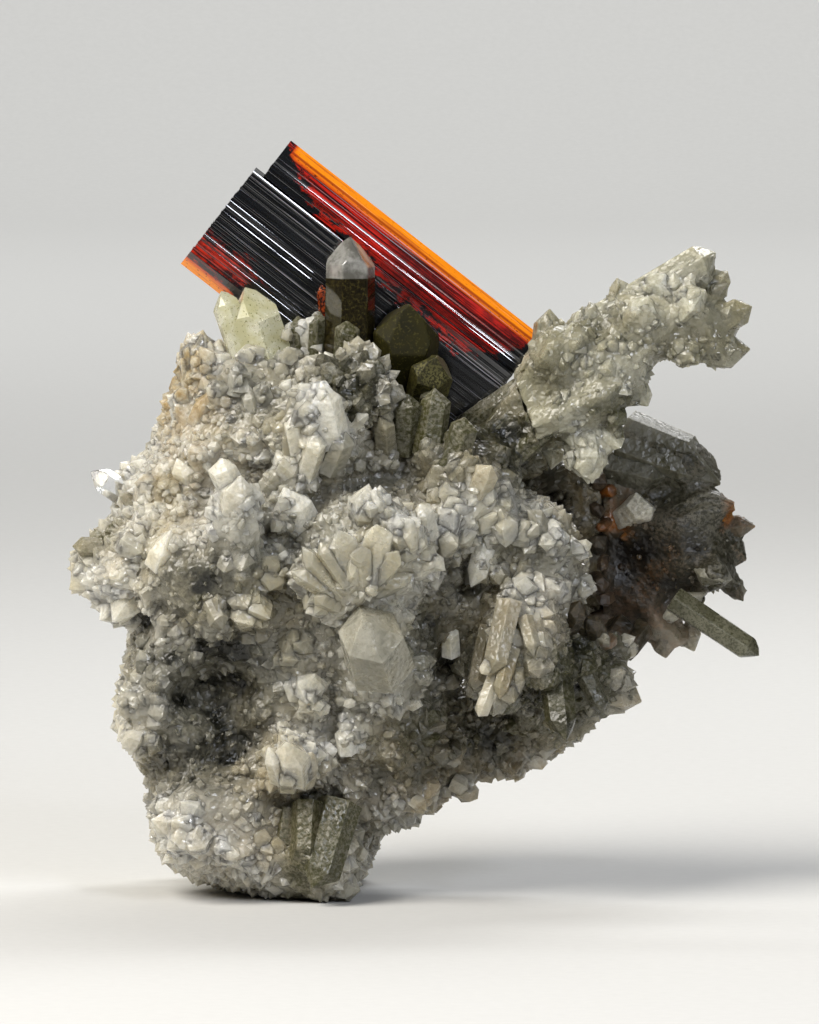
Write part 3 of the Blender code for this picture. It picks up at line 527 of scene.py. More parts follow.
def quartz_finish(name, clear, milk, cream, chlorite, iron, soot_and_shade, see_through, roughness):
    """Quartz as it grew: glassy faces with fine etching, over a body that goes from clear to milky.

    The stain attribute says how much chlorite, iron and soot a crystal carries and how milky it is. The soot is
    partly painted shade, laid on low skin and in hollows and crevices.
    """
    material, tree = new_material(name)
    place = add_node(tree, "TexCoord").outputs["Object"]
    stain = add_node(tree, "Attribute", attribute_name="stain")
    parts = add_node(tree, "SeparateColor", {"Color": stain.outputs["Color"]}).outputs
    # Veils lie 2.4 mm apart and stained clouds 7 mm. The grit is 0.3 mm, coarser than real, so that it shows.
    veils, dust, clouds = (
        add_node(tree, "TexNoise", {
            "Vector": place, "Scale": scale, "Detail": detail, "Roughness": rough,
        }).outputs["Fac"]
        for scale, detail, rough in ((420, 5, 0.6), (3600, 3, 0.7), (150, 4, 0.55))
    )

    milkiness = add_node(tree, "Math", (stain.outputs["Alpha"], veils), operation="ADD").outputs[0]
    tones, shares = layer_colours(tree, (
        ("milky", None, milkiness, 0.05, 1.1, 0, 1, clear, milk),
        ("creamy", None, clouds, 0.42, 0.68, 0.05, 0.5, "milky", cream),
        ("dusty", None, dust, 0.36, 0.62, 0.4, 0, "creamy", clear),
        ("rusty", parts["Green"], veils, 0.35, 0.6, 0.35, 1.5, "dusty", iron),
        ("mossy", parts["Red"], dust, 0.4, 0.64, 0.7, 1.25, "rusty", chlorite),
        # Painted shade in part: the soot share darkens low skin, hollows and crevices as well as dark stain.
        ("sooty_and_shaded", parts["Blue"], veils, 0.3, 0.65, 1.2, 0.5, "mossy", soot_and_shade),
    ))

    dirt = add_node(tree, "Math", (shares["mossy"], shares["sooty_and_shaded"]), operation="MAXIMUM").outputs[0]
    clearness, clean, dullness = (
        add_node(tree, "MapRange", eased, interpolation_type="SMOOTHSTEP").outputs[0]
        for eased in (
            (milkiness, 0, 1.2, see_through, see_through * 0.35),
            (dirt, 0, 1, 1, 0.12),
            (veils, 0.3, 0.7, roughness + 0.13, roughness + 0.4),
        )
    )
    polish, scatter, passing = (
        add_node(tree, "Math", pair, operation="MULTIPLY").outputs[0]
        for pair in ((clean, 0.25), (clean, 0.85), (clearness, clean))
    )
    # Growth facets of 0.6 mm, grit, waves over the faces, and bands across them, as on every quartz prism.
    facets = add_node(tree, "TexVoronoi", {"Vector": place, "Scale": 1800}, distance="CHEBYCHEV")
    growth = add_node(tree, "UVMap", uv_map="growth").outputs["UV"]
    bands = add_node(tree, "Mapping", {"Vector": growth, "Scale": (0.6, 22, 1)}).outputs[0]
    banding = add_node(tree, "TexNoise", {"Vector": bands, "Scale": 1, "Detail": 2})
    normal = None
    for height, strength, distance in (
        (facets.outputs["Distance"], 0.6, 0.22),
        (dust, 0.4, 0.04),
        (veils, 0.5, 0.12),
        (banding.outputs["Fac"], 0.5, 0.08),
    ):
        inputs = {"Height": height, "Strength": strength, "Distance": distance * MM}
        under = {"Normal": normal} if normal else {}
        normal = add_node(tree, "Bump", inputs | under).outputs["Normal"]
    shader = add_node(tree, "BsdfPrincipled", {
        "Base Color": tones["sooty_and_shaded"],
        "Roughness": add_node(tree, "Math", (dullness, polish), operation="SUBTRACT").outputs[0],
        "IOR": QUARTZ_IOR,
        "Specular IOR Level": 0.45,
        "Subsurface Weight": scatter,
        "Subsurface Radius": (1.0, 0.95, 0.84),
        "Subsurface Scale": 1.7 * MM,
        "Transmission Weight": passing,
        "Normal": normal,
    })
    add_node(tree, "OutputMaterial", {"Surface": shader.outputs[0]})
    return material


def dress(piece, material, node, slot):
    """Gives a piece its material, hangs it under the root and hides its imported node. The slot is not used."""
    piece.data.materials.append(material)
    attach(piece, "root")
    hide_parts(node)


# Milky quartz, grown in open druses: the faces are glassy, the body is clouded by fluid veils, and the whole
# reads as wet snow with a cream cast where iron has soaked in.
milky_quartz = quartz_finish(
    "milky_quartz", "#B3B1A3", "#F0EDE0", "#D0C297", "#403F1A", "#8F7235", "#15150D", 0.42, 0.15
)
MATRIX = milky_quartz, "quartz_matrix", "milky_quartz"
dress(core_of("quartz_matrix", "matrix_core", MATRIX_STAINS_AND_SHADE, 31, 1.3, 0.55), *MATRIX)
dress(druse_on("quartz_matrix", "matrix_druse", MATRIX_STAINS_AND_SHADE, 31, 1.2, 1.5, 0.19, 1.5), *MATRIX)
dress(druse_on("quartz_matrix", "matrix_sugar", MATRIX_STAINS_AND_SHADE, 32, 1.1, 0.8, 0.4, 0.5), *MATRIX)
GREAT_POINTS = [
    (-6.4, 37, -7.4, 42, 1.5, 2.8, 0, 0, 0, 0.8),
    (-8.6, 30, -10.2, 33.6, 1.2, 3.1, 0, 0, 0, 1),
    (-8.2, 33.6, -10.8, 36.8, 0.8, 2.3, 0.05, 0.05, 0, 0.8),
    (-6.4, 25.4, -9.6, 27.2, 1.2, 1.9, 0, 0, 0, -0.6),
    (-5.6, 25.2, -8.9, 28.8, 1.7, 1.8, 0, 0, 0, -0.3),
    (-5.2, 26, -7.4, 29.2, 1.3, 1.6, 0, 0, 0, -0.8),
    (-4.6, 26, -5.9, 30.4, 2.3, 2.2, 0, 0, 0, -0.2),
    (-3.8, 26.4, -4.2, 29, 2.8, 1.7, 0, 0, 0, -0.7),
    (-3.2, 26.4, -2.6, 30.6, 2, 2.4, 0, 0, 0, -0.1),
    (-3.2, 25.8, -1, 28.6, 2.4, 1.6, 0, 0, 0, -0.5),
    (-3.4, 25, -0.2, 27, 1.4, 2, 0, 0, 0, -0.2),
    (-6, 24.4, -7.8, 25.2, 1.6, 1.6, 0, 0, 0, -0.4),
    (-2.6, 19.6, -3.6, 23, 3.8, 5, 0.4, 0.05, 0.1, 0.1),
    (3, 20.4, 2.9, 22.8, 1.2, 1.8, 0, 0, 0, 1),
    (-8.6, 34.6, -7.4, 38.2, 2.2, 2.4, 0, 0, 0, 0.2),
    (-6.6, 35, -5.2, 38, 1.8, 2.2, 0.1, 0, 0, -0.2),
    (-9, 36.6, -9.6, 39.6, 1.6, 2, 0, 0, 0, 0.6),
    (-14, 33, -15.4, 35.8, 1.4, 2.2, 0, 0, 0, 0.4),
    (-17.6, 33.4, -18.6, 36, 1.2, 2, 0, 0.1, 0, 0.5),
    (-11.6, 33.4, -9.9, 35.4, 1.2, 1.7, 0, 0, 0, -0.5),
    (1.8, 33.6, 2.4, 36.2, 1.4, 1.8, 0.4, 0.1, 0, 0.1),
    (5, 33.2, 6.2, 35.6, 1.4, 2, 0.3, 0.2, 0, 0.5),
    (7.6, 24.6, 6.2, 18.6, 1.9, 2.2, 0.4, 0.3, 0.05, 0),
    (5.9, 22.6, 4.9, 17.6, 1.7, 1.5, 0.45, 0.3, 0.1, 0),
    (7.9, 20.8, 6.7, 16.9, 2.2, 1.4, 0.4, 0.35, 0.1, 0.1),
    (6.5, 18.6, 5.2, 15.4, 2, 1.3, 0.25, 0.2, 0, 0.6),
    (8.8, 23.2, 9.7, 20.2, 1.6, 1.7, 0.4, 0.3, 0, 0.2),
    (6.6, 20.6, 5.4, 18.8, 2.6, 1, 0.2, 0.2, 0, 0.6),
    (8.6, 19.6, 8.2, 18, 2.4, 1.2, 0.5, 0.2, 0, 0.2),
    (11.3, 18.6, 11.9, 13.4, 2, 2.4, 0.95, 0.1, 0.7, -0.8),
    (13.4, 19.4, 15.2, 15.6, 0.8, 1.8, 0.8, 0.1, 0.6, -0.6),
    (-24.8, 28.8, -27.1, 29, 0.6, 1.5, 0.6, 0.2, 0, 0),
    (-22.4, 32.2, -23.4, 33.6, 0.4, 1.1, 0.5, 0.3, 0, 0),
    (-14.2, 31.2, -13.8, 34.6, 1.2, 2.6, 0, 0.1, 0, 0.3),
    (-14.2, 41, -13.9, 43.2, 0.8, 1.2, 0, 0, 0, -0.2),
    (-12.6, 39.4, -13.2, 41.8, 0.8, 1.4, 0, 0, 0, -0.3),
    (-9.4, 10.6, -9.6, 13.6, 2.4, 2.6, 0, 0.12, 0, 0.3),
    (-10.6, 10.6, -11.3, 13, 1.9, 1.9, 0, 0.12, 0, 0.3),
    (-8.8, 10.2, -8.1, 12.6, 1.9, 1.8, 0, 0.2, 0, 0.1),
    (-9.8, 10.2, -9.9, 11.2, 2.6, 2, 0, 0.15, 0, 0.2),
    (-5.2, 12.6, -5.5, 14.7, 1.2, 1.6, 0, 0, 0, 1),
    (-4.4, 12.8, -3.9, 14, 1, 1.3, 0, 0, 0, 0.8),
    (-17.2, 38.6, -16.2, 41.2, 0.8, 1.6, 0, 0.5, 0, 0.3),
    (-22, 25, -24.2, 23.2, 1, 2.5, 0, 0.1, 0, 0.9),
    (-20, 27.6, -19.2, 30.2, 1.4, 2.6, 0, 0.1, 0, 0.8),
    (1.2, 29.6, 0.6, 32.4, 1.2, 2, 0.1, 0, 0, 0.4),
    (5.8, 29, 4.8, 25.6, 1.2, 1.8, 0, 0, 0, 0.3),
    (10.6, 29.8, 9.2, 32, 1.2, 1.8, 0.15, 0, 0.2, -0.2),
    (-16, 24.4, -15, 22.4, 1.2, 1.8, 0.1, 0, 0.3, -0.4),
    (-5.8, 8.6, -7.8, 1.6, 1.8, 3.2, 0.95, 0.15, 0.35, -0.8),
    (-8.4, 8.6, -8.6, 2.8, 1.4, 2.6, 0.9, 0.2, 0.45, -0.7),
    (-9.8, 8, -10.4, 4.2, 0.9, 2, 0.8, 0.2, 0.6, -0.6),
    (-7.6, 8.8, -9.2, 6, 2.2, 1.9, 0.8, 0.1, 0.7, -0.6),
    (-4, 43, -4.6, 44.6, 0.8, 1.5, 0.2, 0, 0, 0.7),
    (-2.4, 42.6, -2.2, 44.2, 0.8, 1.4, 0.3, 0, 0, 0.6),
    (-6.4, 43.2, -7.2, 44.4, 0.8, 1.3, 0.3, 0, 0, 0.6),
    (-1, 41.6, -0.4, 42.8, 0.8, 1.2, 0.4, 0, 0, 0.4),
]
dress(rooted_crystals("great_points", ["quartz_matrix"], GREAT_POINTS, 12), *MATRIX)

# The knob of druse that stands before the feet of the phantom point and of the green ones.
KNOB_AT = (-5.0, 41.4, -7.6)
KNOB_RADII = (3.6, 3.2, 3.3)  # half width, depth and height
KNOB_COUNT = 170
KNOB_STAINS = np.array([0.95, 0, 0.9, -0.4])
RIM_STAINS = np.array([0.35, 0.1, 0.15, 0.4])


def knob_mesh(name, rng):
    """Points that stand out of the near half of an ellipsoid, dark in the middle and paler at the rim."""
    ways = unit(rng.normal(size=(KNOB_COUNT, 3)))
    ways[:, 1] = -np.abs(ways[:, 1])
    axes = unit(ways + 0.25 * rng.normal(size=ways.shape))
    widths = rng.uniform(0.7, 1.7, KNOB_COUNT) * MM
    heights = widths * rng.uniform(0.25, 0.8, KNOB_COUNT)
    buried = 1.4 * MM
    feet = spot(*KNOB_AT) + ways * np.array(KNOB_RADII) * MM - axes * buried
    rim = np.clip(1.25 + ways[:, 1] + 0.3 * rng.normal(size=KNOB_COUNT), 0, 1)[:, None]
    stains = (1 - rim) * KNOB_STAINS + rim * RIM_STAINS
    return points_mesh(name, feet, axes, widths, heights + buried, np.clip(stains, -1, 1), rng)


dress(knob_mesh("knob_druse", np.random.default_rng(18)), *MATRIX)

ROOT_POINTS = [
    (-9, 43.6, -3.4, -9.1, 47.4, -3.8, 1.6, 0.9, 0.1, 0.3, -0.4),
    (-7.8, 43.6, -3.6, -7.6, 47.8, -4.2, 1.9, 0.95, 0.1, 0.4, -0.4),
    (-5.3, 43.4, -5.6, -5.2, 46.9, -6.4, 1.9, 0.95, 0.1, 0.4, -0.4),
    (1, 39.4, -4.8, 1.3, 41.4, -6.8, 1.5, 0.9, 0.1, 0.4, -0.3),
    (-0.9, 36.4, -7, -0.4, 41.2, -9, 2.3, 0.9, 0.1, 0.5, -0.5),
    (1.2, 36.2, -8, 2, 41.6, -8.6, 2.3, 0.95, 0.1, 0.3, -0.5),
    (3.2, 35.6, -9, 4.3, 39.2, -9.8, 2.4, 0.9, 0.1, 0.35, -0.5),
    (-2.2, 36.8, -7.6, -2.4, 39.4, -9.8, 2, 0.5, 0.1, 0.3, 0),
    (13.4, 17.6, -2, 18.3, 17, -3, 3.4, 0.3, 0.3, 0, 0.2),
    (14, 20, -2, 18, 21, -2.8, 2.6, 0.5, 0.2, 0.4, -0.2),
    (-16.4, 42.4, 0, -18.9, 44.6, -1.2, 3, 0, 0.3, 0, 0.5),
    (4.6, 36.2, -4, 10.8, 43.2, -2.6, 2, 0.8, 0.1, 0.3, -0.4),
    (7, 35.2, -3.5, 13, 41, -5, 2.4, 0.9, 0.1, 0.4, -0.4),
    (6.8, 31.5, -1.5, 7.6, 40.6, -0.5, 3, 0.9, 0.1, 0.5, -0.5),
    (9.2, 38.9, -3.2, 17.2, 41.8, -5.6, 2.2, 0.95, 0.1, 0.4, -0.5),
    (4.4, 38.4, -1.5, 10, 42.4, -2, 2.6, 0.8, 0.1, 0.4, -0.4),
    (8.2, 35.8, -2, 9.8, 37.2, -3, 0.9, 0, 0, 0, 0.9),
    (-8, 30, 8, -10.5, 33.5, 18.5, 5, 0, 0, 0, 0.2),
    (-12, 22, 9, -15, 19.5, 18.5, 4.4, 0.1, 0, 0, 0),
    (-4, 20, 4, -1.2, 22.5, 12.6, 3.8, 0.2, 0, 0, 0),
    (-11, 37, 9, -12.4, 41.5, 16, 3.8, 0.1, 0, 0, 0.3),
    (-10, 10, 9, -7.6, 9, 18, 4.5, 0.2, 0.1, 0, 0.2),
    (-17, 29, 10, -21.5, 29.5, 16.5, 4, 0, 0.1, 0, 0.4),
]
dress(given_crystals("root_points", ROOT_POINTS, 14), *MATRIX)


# The arm: a branch of clearer, glassier quartz that leaves the matrix at the upper right, with green tints at
# its lower side. It is built as the matrix is, from its own solid.
ARM_STAINS = [
    (17, 44, -2, 12, 10, 12, 0.42, 0.05, 0.42, 0.1),
    (10.5, 44.5, -4, 2.6, 3, 8, 0.45, 0.1, 0.1, 0.3),
    (20.5, 48.5, -4, 4.4, 3, 8, 0.05, 0, 0, 0.5),
    (25, 49, -4, 2.4, 3.4, 8, 0.4, 0.1, 0, 0.1),
    (16, 43, -4, 3.4, 2.6, 8, 0.1, 0, 0.1, 0.5),
    (13.5, 36.5, -4, 2.4, 2.4, 8, 0.12, 0, 0, 0.6),
    (16, 39.6, -4, 2, 2, 6, 0.7, 0.1, 0.4, -0.3),
]
arm_quartz = quartz_finish(
    "glassy_quartz", "#83826C", "#CFCCB9", "#A29A74", "#403F1C", "#93783C", "#17170F", 0.45, 0.14
)
ARM = arm_quartz, "quartz_arm", "arm_quartz"
dress(core_of("quartz_arm", "arm_core", ARM_STAINS, 57, 1.2, 0.45), *ARM)
dress(druse_on("quartz_arm", "arm_druse", ARM_STAINS, 57, 1.0, 1.15, 0.16, 1.2), *ARM)

ARM_POINTS = [
    (15.4, 46.9, -3, 24.2, 52.3, -3.5, 3.2, 0.1, 0, 0, 0.3),
    (15.6, 47.2, -3, 16.5, 50.4, -3, 1.6, 0.3, 0.1, 0, 0.2),
    (23.4, 48, -3, 24.9, 51.1, -3, 1.8, 0.3, 0.1, 0, 0.2),
    (23.6, 46.4, -3, 27, 48.2, -4, 2.2, 0.4, 0.1, 0, 0.1),
    (23.6, 44.6, -3, 26.9, 44.3, -3.5, 2.8, 0.4, 0.1, 0.1, 0),
    (10.6, 44, -3, 10.9, 48, -3.5, 2.4, 0.3, 0.1, 0, 0.2),
    (13, 44.4, -3, 14.8, 48.6, -2.5, 3.2, 0.15, 0, 0, 0.4),
    (18.6, 46.8, -4, 17.6, 47.6, -7.6, 3.2, 0, 0, 0, 0.6),
    (13, 45.4, -3, 13, 45.2, -7.2, 2.8, 0, 0, 0, 0.5),
    (21, 47.4, -4, 23, 49.4, -6.3, 3, 0, 0, 0, 0.7),
    (21, 45, -4, 22.4, 43.6, -6.6, 2.6, 0.1, 0, 0, 0.4),
    (13.6, 38, -4, 14.2, 33.9, -5.4, 3, 0.1, 0, 0, 0.6),
    (15, 38.4, -4, 16.6, 36.6, -5.6, 2, 0.1, 0, 0, 0.5),
    (15.6, 41, -3, 16.4, 38.6, -6.4, 1.7, 0.7, 0, 0.3, -0.3),
    (17.2, 43, -3, 18.6, 40, -4, 2, 0.2, 0, 0, 0.4),
    (18.4, 48, -3, 20.4, 50.6, -4.6, 2.6, 0, 0, 0, 0.5),
]
dress(given_crystals("arm_points", ARM_POINTS, 21), *ARM)


# The grey group: stout prisms and a rough lump, full of chlorite scales that make the quartz grey-green, with
# rust where the matrix was open to water.
GROUP_STAINS_AND_SHADE = [
    (20.5, 36.5, 2, 5, 3.4, 8, 0.9, 0.05, 0.25, -0.2),
    (24, 29, 2, 5, 5.4, 8, 0.9, 0.04, 0.4, -0.1),
    (25.8, 31.6, 2, 1, 1, 8, 0.2, 1, 0, -0.2),
    # Painted shade: this row darkens the group's open hollow at the left with soot.
    (17.4, 27, 2, 4.4, 5.6, 8, 0.7, 0.22, 1, -0.2),
    (18.2, 25.8, 2, 1.6, 2.4, 8, 0.4, 0.35, 0.6, -0.2),
    (16.8, 31.6, 2, 1.3, 1.6, 8, 0.1, 1, 0, -0.2),
    (20.4, 21.6, 2, 3.4, 1.6, 8, 0.35, 0.2, 0, 0.3),
]
chlorite_grey_quartz = quartz_finish(
    "chlorite_grey_quartz", "#4C4A32", "#CFCCBC", "#463F24", "#26240E", "#A05C0C", "#0A0603", 0.22, 0.3
)
GROUP = chlorite_grey_quartz, "grey_quartz_group", "grey_quartz"
group_core = core_of("grey_quartz_group", "group_core", GROUP_STAINS_AND_SHADE, 83, 0.9, 0.45)
group_core.data.shade_smooth()
dress(group_core, *GROUP)
dress(druse_on("grey_quartz_group", "group_druse", GROUP_STAINS_AND_SHADE, 83, 0.8, 0.6, 0.3, 0.7), *GROUP)
GROUP_POINTS = [
    (15.6, 20.4, 0, 17.4, 23.2, 2.6, 2.6, 0.6, 0.2, 0.7, -0.3),
    (17, 20.6, 0.6, 18.9, 22.8, 3, 2.2, 0.6, 0.2, 0.5, -0.2),
    (16.8, 37.3, 5, 25, 34.2, 3.4, 5, 0.5, 0, 0, 0),
    (15.6, 35.4, 3.6, 20.7, 34.2, 2.4, 2.7, 0.5, 0, 0.3, 0),
    (23, 28, 4, 24.6, 26, -1.3, 2.8, 0.4, 0, 0.1, 0.2),
    (25, 30.4, 4, 27.6, 30.7, 3, 1.9, 0.6, 0.4, 0.1, 0.1),
    (24.6, 27.4, 4, 26.6, 24.4, 3, 1.8, 0.7, 0.1, 0.2, 0),
    (17.8, 21.4, 4.8, 23.4, 25.4, 2.2, 1.7, 0.1, 0, 0, 0.6),
    (22, 22.2, 4.4, 22.6, 20.4, 3.4, 1.9, 0.1, 0.1, 0, 0.9),
    (19.6, 22.2, 4.4, 20.6, 20, 3.2, 1.9, 0.5, 0.2, 0.1, 0.2),
    (16.6, 31, 4, 18.9, 32.4, 0.7, 2.5, 0, 0.05, 0, 1),
    (25, 29, 4, 26.9, 28, 3.2, 2.4, 0.8, 0.2, 0.2, 0),
]
# Painted shade: these points along the seam between the matrix and the grey group carry heavy soot, which
# darkens the crevice there.
SEAM_POINTS = [
    (12.4, 22.6, 13.4, 24.4, 2, 2, 0.6, 0.1, 0.7, -0.4),
    (13.6, 22.2, 13, 23.4, 2.4, 1.7, 0.7, 0.1, 0.6, -0.4),
    (14.8, 21.8, 14, 23.2, 2, 1.6, 0.6, 0.1, 0.7, -0.4),
    (14.2, 34.6, 15.4, 33.8, 2.2, 1.6, 0.5, 0.2, 0.8, -0.2),
    (15, 33.4, 16.2, 33.4, 2, 1.1, 0.2, 0.7, 0.5, -0.2),
    (14.4, 32.2, 15.2, 31.4, 2.1, 1.3, 0.4, 0.2, 0.9, -0.2),
    (15.6, 31, 14.9, 30.2, 2.3, 1, 0.3, 0.6, 0.6, -0.2),
    (14.3, 29.4, 15.6, 28.7, 2.1, 1.7, 0.5, 0.1, 0.9, -0.2),
    (15.3, 27.9, 15, 27, 2, 1, 0.4, 0.2, 1, -0.2),
    (14.5, 26.4, 15.4, 25.4, 2.2, 1.5, 0.5, 0.2, 1, -0.2),
    (15.9, 25, 15, 24.3, 2.1, 1.2, 0.3, 0.2, 0.9, -0.2),
    (14.4, 23.2, 15.8, 22.8, 2.1, 1.8, 0.5, 0.2, 0.6, 0),
    (15.7, 21.6, 14.9, 20.8, 2.1, 1.3, 0.4, 0.3, 0.4, 0),
]
dress(rooted_crystals("seam_points", ["quartz_matrix", "grey_quartz_group"], SEAM_POINTS, 30), *GROUP)
dress(given_crystals("group_points", GROUP_POINTS, 28), *GROUP)


# The brookite: a tabular crystal of titanium oxide, two blades grown side by side. Its faces are ruled along
# their length by fine growth steps, and it is black in bulk, blood-red where thinner and orange at the edges.
# Along is measured from the upper blade's left end and across from the lower edge, in millimetres.
GRAINS = np.random.default_rng(7)
BLADE_HEADING = math.radians(38)
BLADE_TOP_LEFT = (-9.8, 61.5)
BLADE_DEPTH = 2.0
BLADE_WIDTH = 13.2
BLADE_LENGTH = 25.6
LOWER_BLADE = (0.0, 9.8, 1.3, 1.3, 0.3, -0.9)  # low and high edge, half thickness, bevels and left end
UPPER_BLADE = (9.4, 13.2, 1.2, 0.3, 2.0, 0.0)
EDGE_SHARE = 0.15  # half height of the thin edges, as a share of the half thickness
MOST_STEPS = 200  # more than the width holds
FLAT_WIDTH = 0.11  # the usual width of a terrace
RISER_WIDTHS = (0.025, 0.06)
COLUMNS = 45  # points along the blade
RED_ALONG = (0.3, 0.9, 2.1, 3.2, 4.3, 5.3, 7.3, 9.9, 11.8, 14.6, 17.1, 19.0, 20.9, 24.0, 24.9, 26.0)
RED_ACROSS = (13.2, 12.6, 11.4, 11.3, 10.2, 9.8, 9.7, 9.6, 9.1, 8.5, 8.9, 8.4, 8.0, 10.2, 12.2, 12.8)
RIDGED_AT = (0.0, 1.2, 2.0, 4.2, 4.5, 6.5, 6.7, 7.7, 7.9, 8.8, 9.1, 11.2, 11.4, 13.2)
RIDGE_HEIGHT = (0.005, 0.01, 0.01, 0.01, 0.022, 0.022, 0.006, 0.006, 0.03, 0.03, 0.028, 0.028, 0.01, 0.01)
PLAIN_FROM = 14.5  # the lower right of the face is smooth
PLAIN_BELOW = 8.2
ORANGE_FROM = 12.1
ORANGE_GROOVE = 12.52  # a dark line runs along the orange edge here
# Painted glow: along the blade, how brightly the red zone shines; where it is low the red is painted darker.
GLOW_ALONG = (0, 5, 8, 11, 13, 16, 19, 22, 26)
GLOW = (0.4, 0.9, 1.0, 0.6, 0.1, 0.2, 0.6, 0.45, 0.2)


def blade_mesh(name, low, high, half, low_bevel, high_bevel, start, rng):
    """One blade as a closed grid, ruled along its length.

    Across the face, flat terraces of random width and level are joined by narrow risers, which catch the light
    as lines. Along the face the height of each riser swells and fades slowly. The section falls to a thin edge
    at both sides, and the ends are slightly uneven.
    """
    flats = np.exp(rng.normal(math.log(FLAT_WIDTH), 0.7, MOST_STEPS))
    risers = rng.uniform(*RISER_WIDTHS, MOST_STEPS)
    steps = low + np.cumsum(flats + risers)
    steps = steps[(steps > low + low_bevel + 0.1) & (steps < high - high_bevel - 0.1)]
    risers = risers[:len(steps)]
    bevels = [low, low + 0.5 * low_bevel, low + low_bevel, high - high_bevel, high - 0.5 * high_bevel, high]
    lines = np.concatenate([steps - risers / 2, steps + risers / 2, bevels])
    order = np.argsort(lines)
    lines = lines[order]
    along = np.linspace(0, 1, COLUMNS)
    begin = start + np.interp(lines, steps, rng.uniform(0, 0.12, len(steps)))
    end = BLADE_LENGTH - np.interp(lines, steps, rng.uniform(0, 0.1, len(steps)))
    a = begin[:, None] + (end - begin)[:, None] * along
    c = np.repeat(lines[:, None], COLUMNS, axis=1)
    slope = np.interp(lines, [low, low + low_bevel, high - high_bevel, high], [EDGE_SHARE, 1, 1, EDGE_SHARE])
    faces = []
    for side in range(2):
        levels = rng.uniform(-1, 1, len(steps) + 1) * np.interp(np.append(steps, high), RIDGED_AT, RIDGE_HEIGHT)
        terrace = np.concatenate([levels[:-1], levels[1:], np.zeros(len(bevels))])[order]
        pace, phase = rng.uniform(0.05, 0.25, (len(lines), 1)), rng.uniform(0, 6, (len(lines), 1))
        swell = 0.85 + 0.3 * np.sin(a * pace + phase)
        plain = np.clip((a - PLAIN_FROM) / 3, 0, 0.9) * (c < PLAIN_BELOW)
        out = half * slope[:, None] + terrace[:, None] * swell * (1 - plain) - max(RIDGE_HEIGHT)
        faces.append(out if side == 0 else -out)
    rows, columns = c.shape
    points = np.stack([
        np.concatenate([a, a]), np.concatenate([c, c]), np.concatenate(faces),
    ], -1).reshape(-1, 3)

    grid = np.arange(rows * columns).reshape(rows, columns)
    back = grid + rows * columns
    quads = [
        np.stack([grid[:-1, :-1], grid[:-1, 1:], grid[1:, 1:], grid[1:, :-1]], -1).reshape(-1, 4),
        np.stack([back[:-1, :-1], back[1:, :-1], back[1:, 1:], back[:-1, 1:]], -1).reshape(-1, 4),
        np.stack([grid[0, 1:], grid[0, :-1], back[0, :-1], back[0, 1:]], -1),
        np.stack([grid[-1, :-1], grid[-1, 1:], back[-1, 1:], back[-1, :-1]], -1),
        np.stack([grid[:-1, 0], grid[1:, 0], back[1:, 0], back[:-1, 0]], -1),
        np.stack([grid[1:, -1], grid[:-1, -1], back[:-1, -1], back[1:, -1]], -1),
    ]
    mesh = bpy.data.meshes.new(name)
    ahead = np.array([math.cos(BLADE_HEADING), 0, -math.sin(BLADE_HEADING)])
    across = np.array([math.sin(BLADE_HEADING), 0, math.cos(BLADE_HEADING)])
    corner = spot(*BLADE_TOP_LEFT, BLADE_DEPTH) - across * BLADE_WIDTH * MM
    outward = np.array([0, -1, 0])
    placed = corner + MM * (points[:, :1] * ahead + points[:, 1:2] * across + points[:, 2:] * outward)
    mesh.from_pydata(placed, [], np.concatenate(quads).tolist())
    mesh.update()

    a, c = points[:, 0], points[:, 1]
    red = c - np.interp(a, RED_ALONG, RED_ACROSS)
    left = 1.2 - np.abs(c - 2.0 - 0.12 * a) - np.clip(a - 3.2, 0, 9) * 0.7
    orange = np.maximum(np.minimum(c - ORANGE_FROM, 1.2 * a - 0.8), np.minimum(0.8 - c, (4.0 - a) * 0.4))
    paint(mesh, "zones", np.stack([red, orange, left, np.interp(a, GLOW_ALONG, GLOW)], -1))
    ruled = mesh.uv_layers.new(name="ruled")
    corners = np.empty(len(mesh.loops), np.int32)
    mesh.loops.foreach_get("vertex_index", corners)
    ruled.data.foreach_set("uv", points[corners, :2].ravel())
    return link_up(name, mesh)


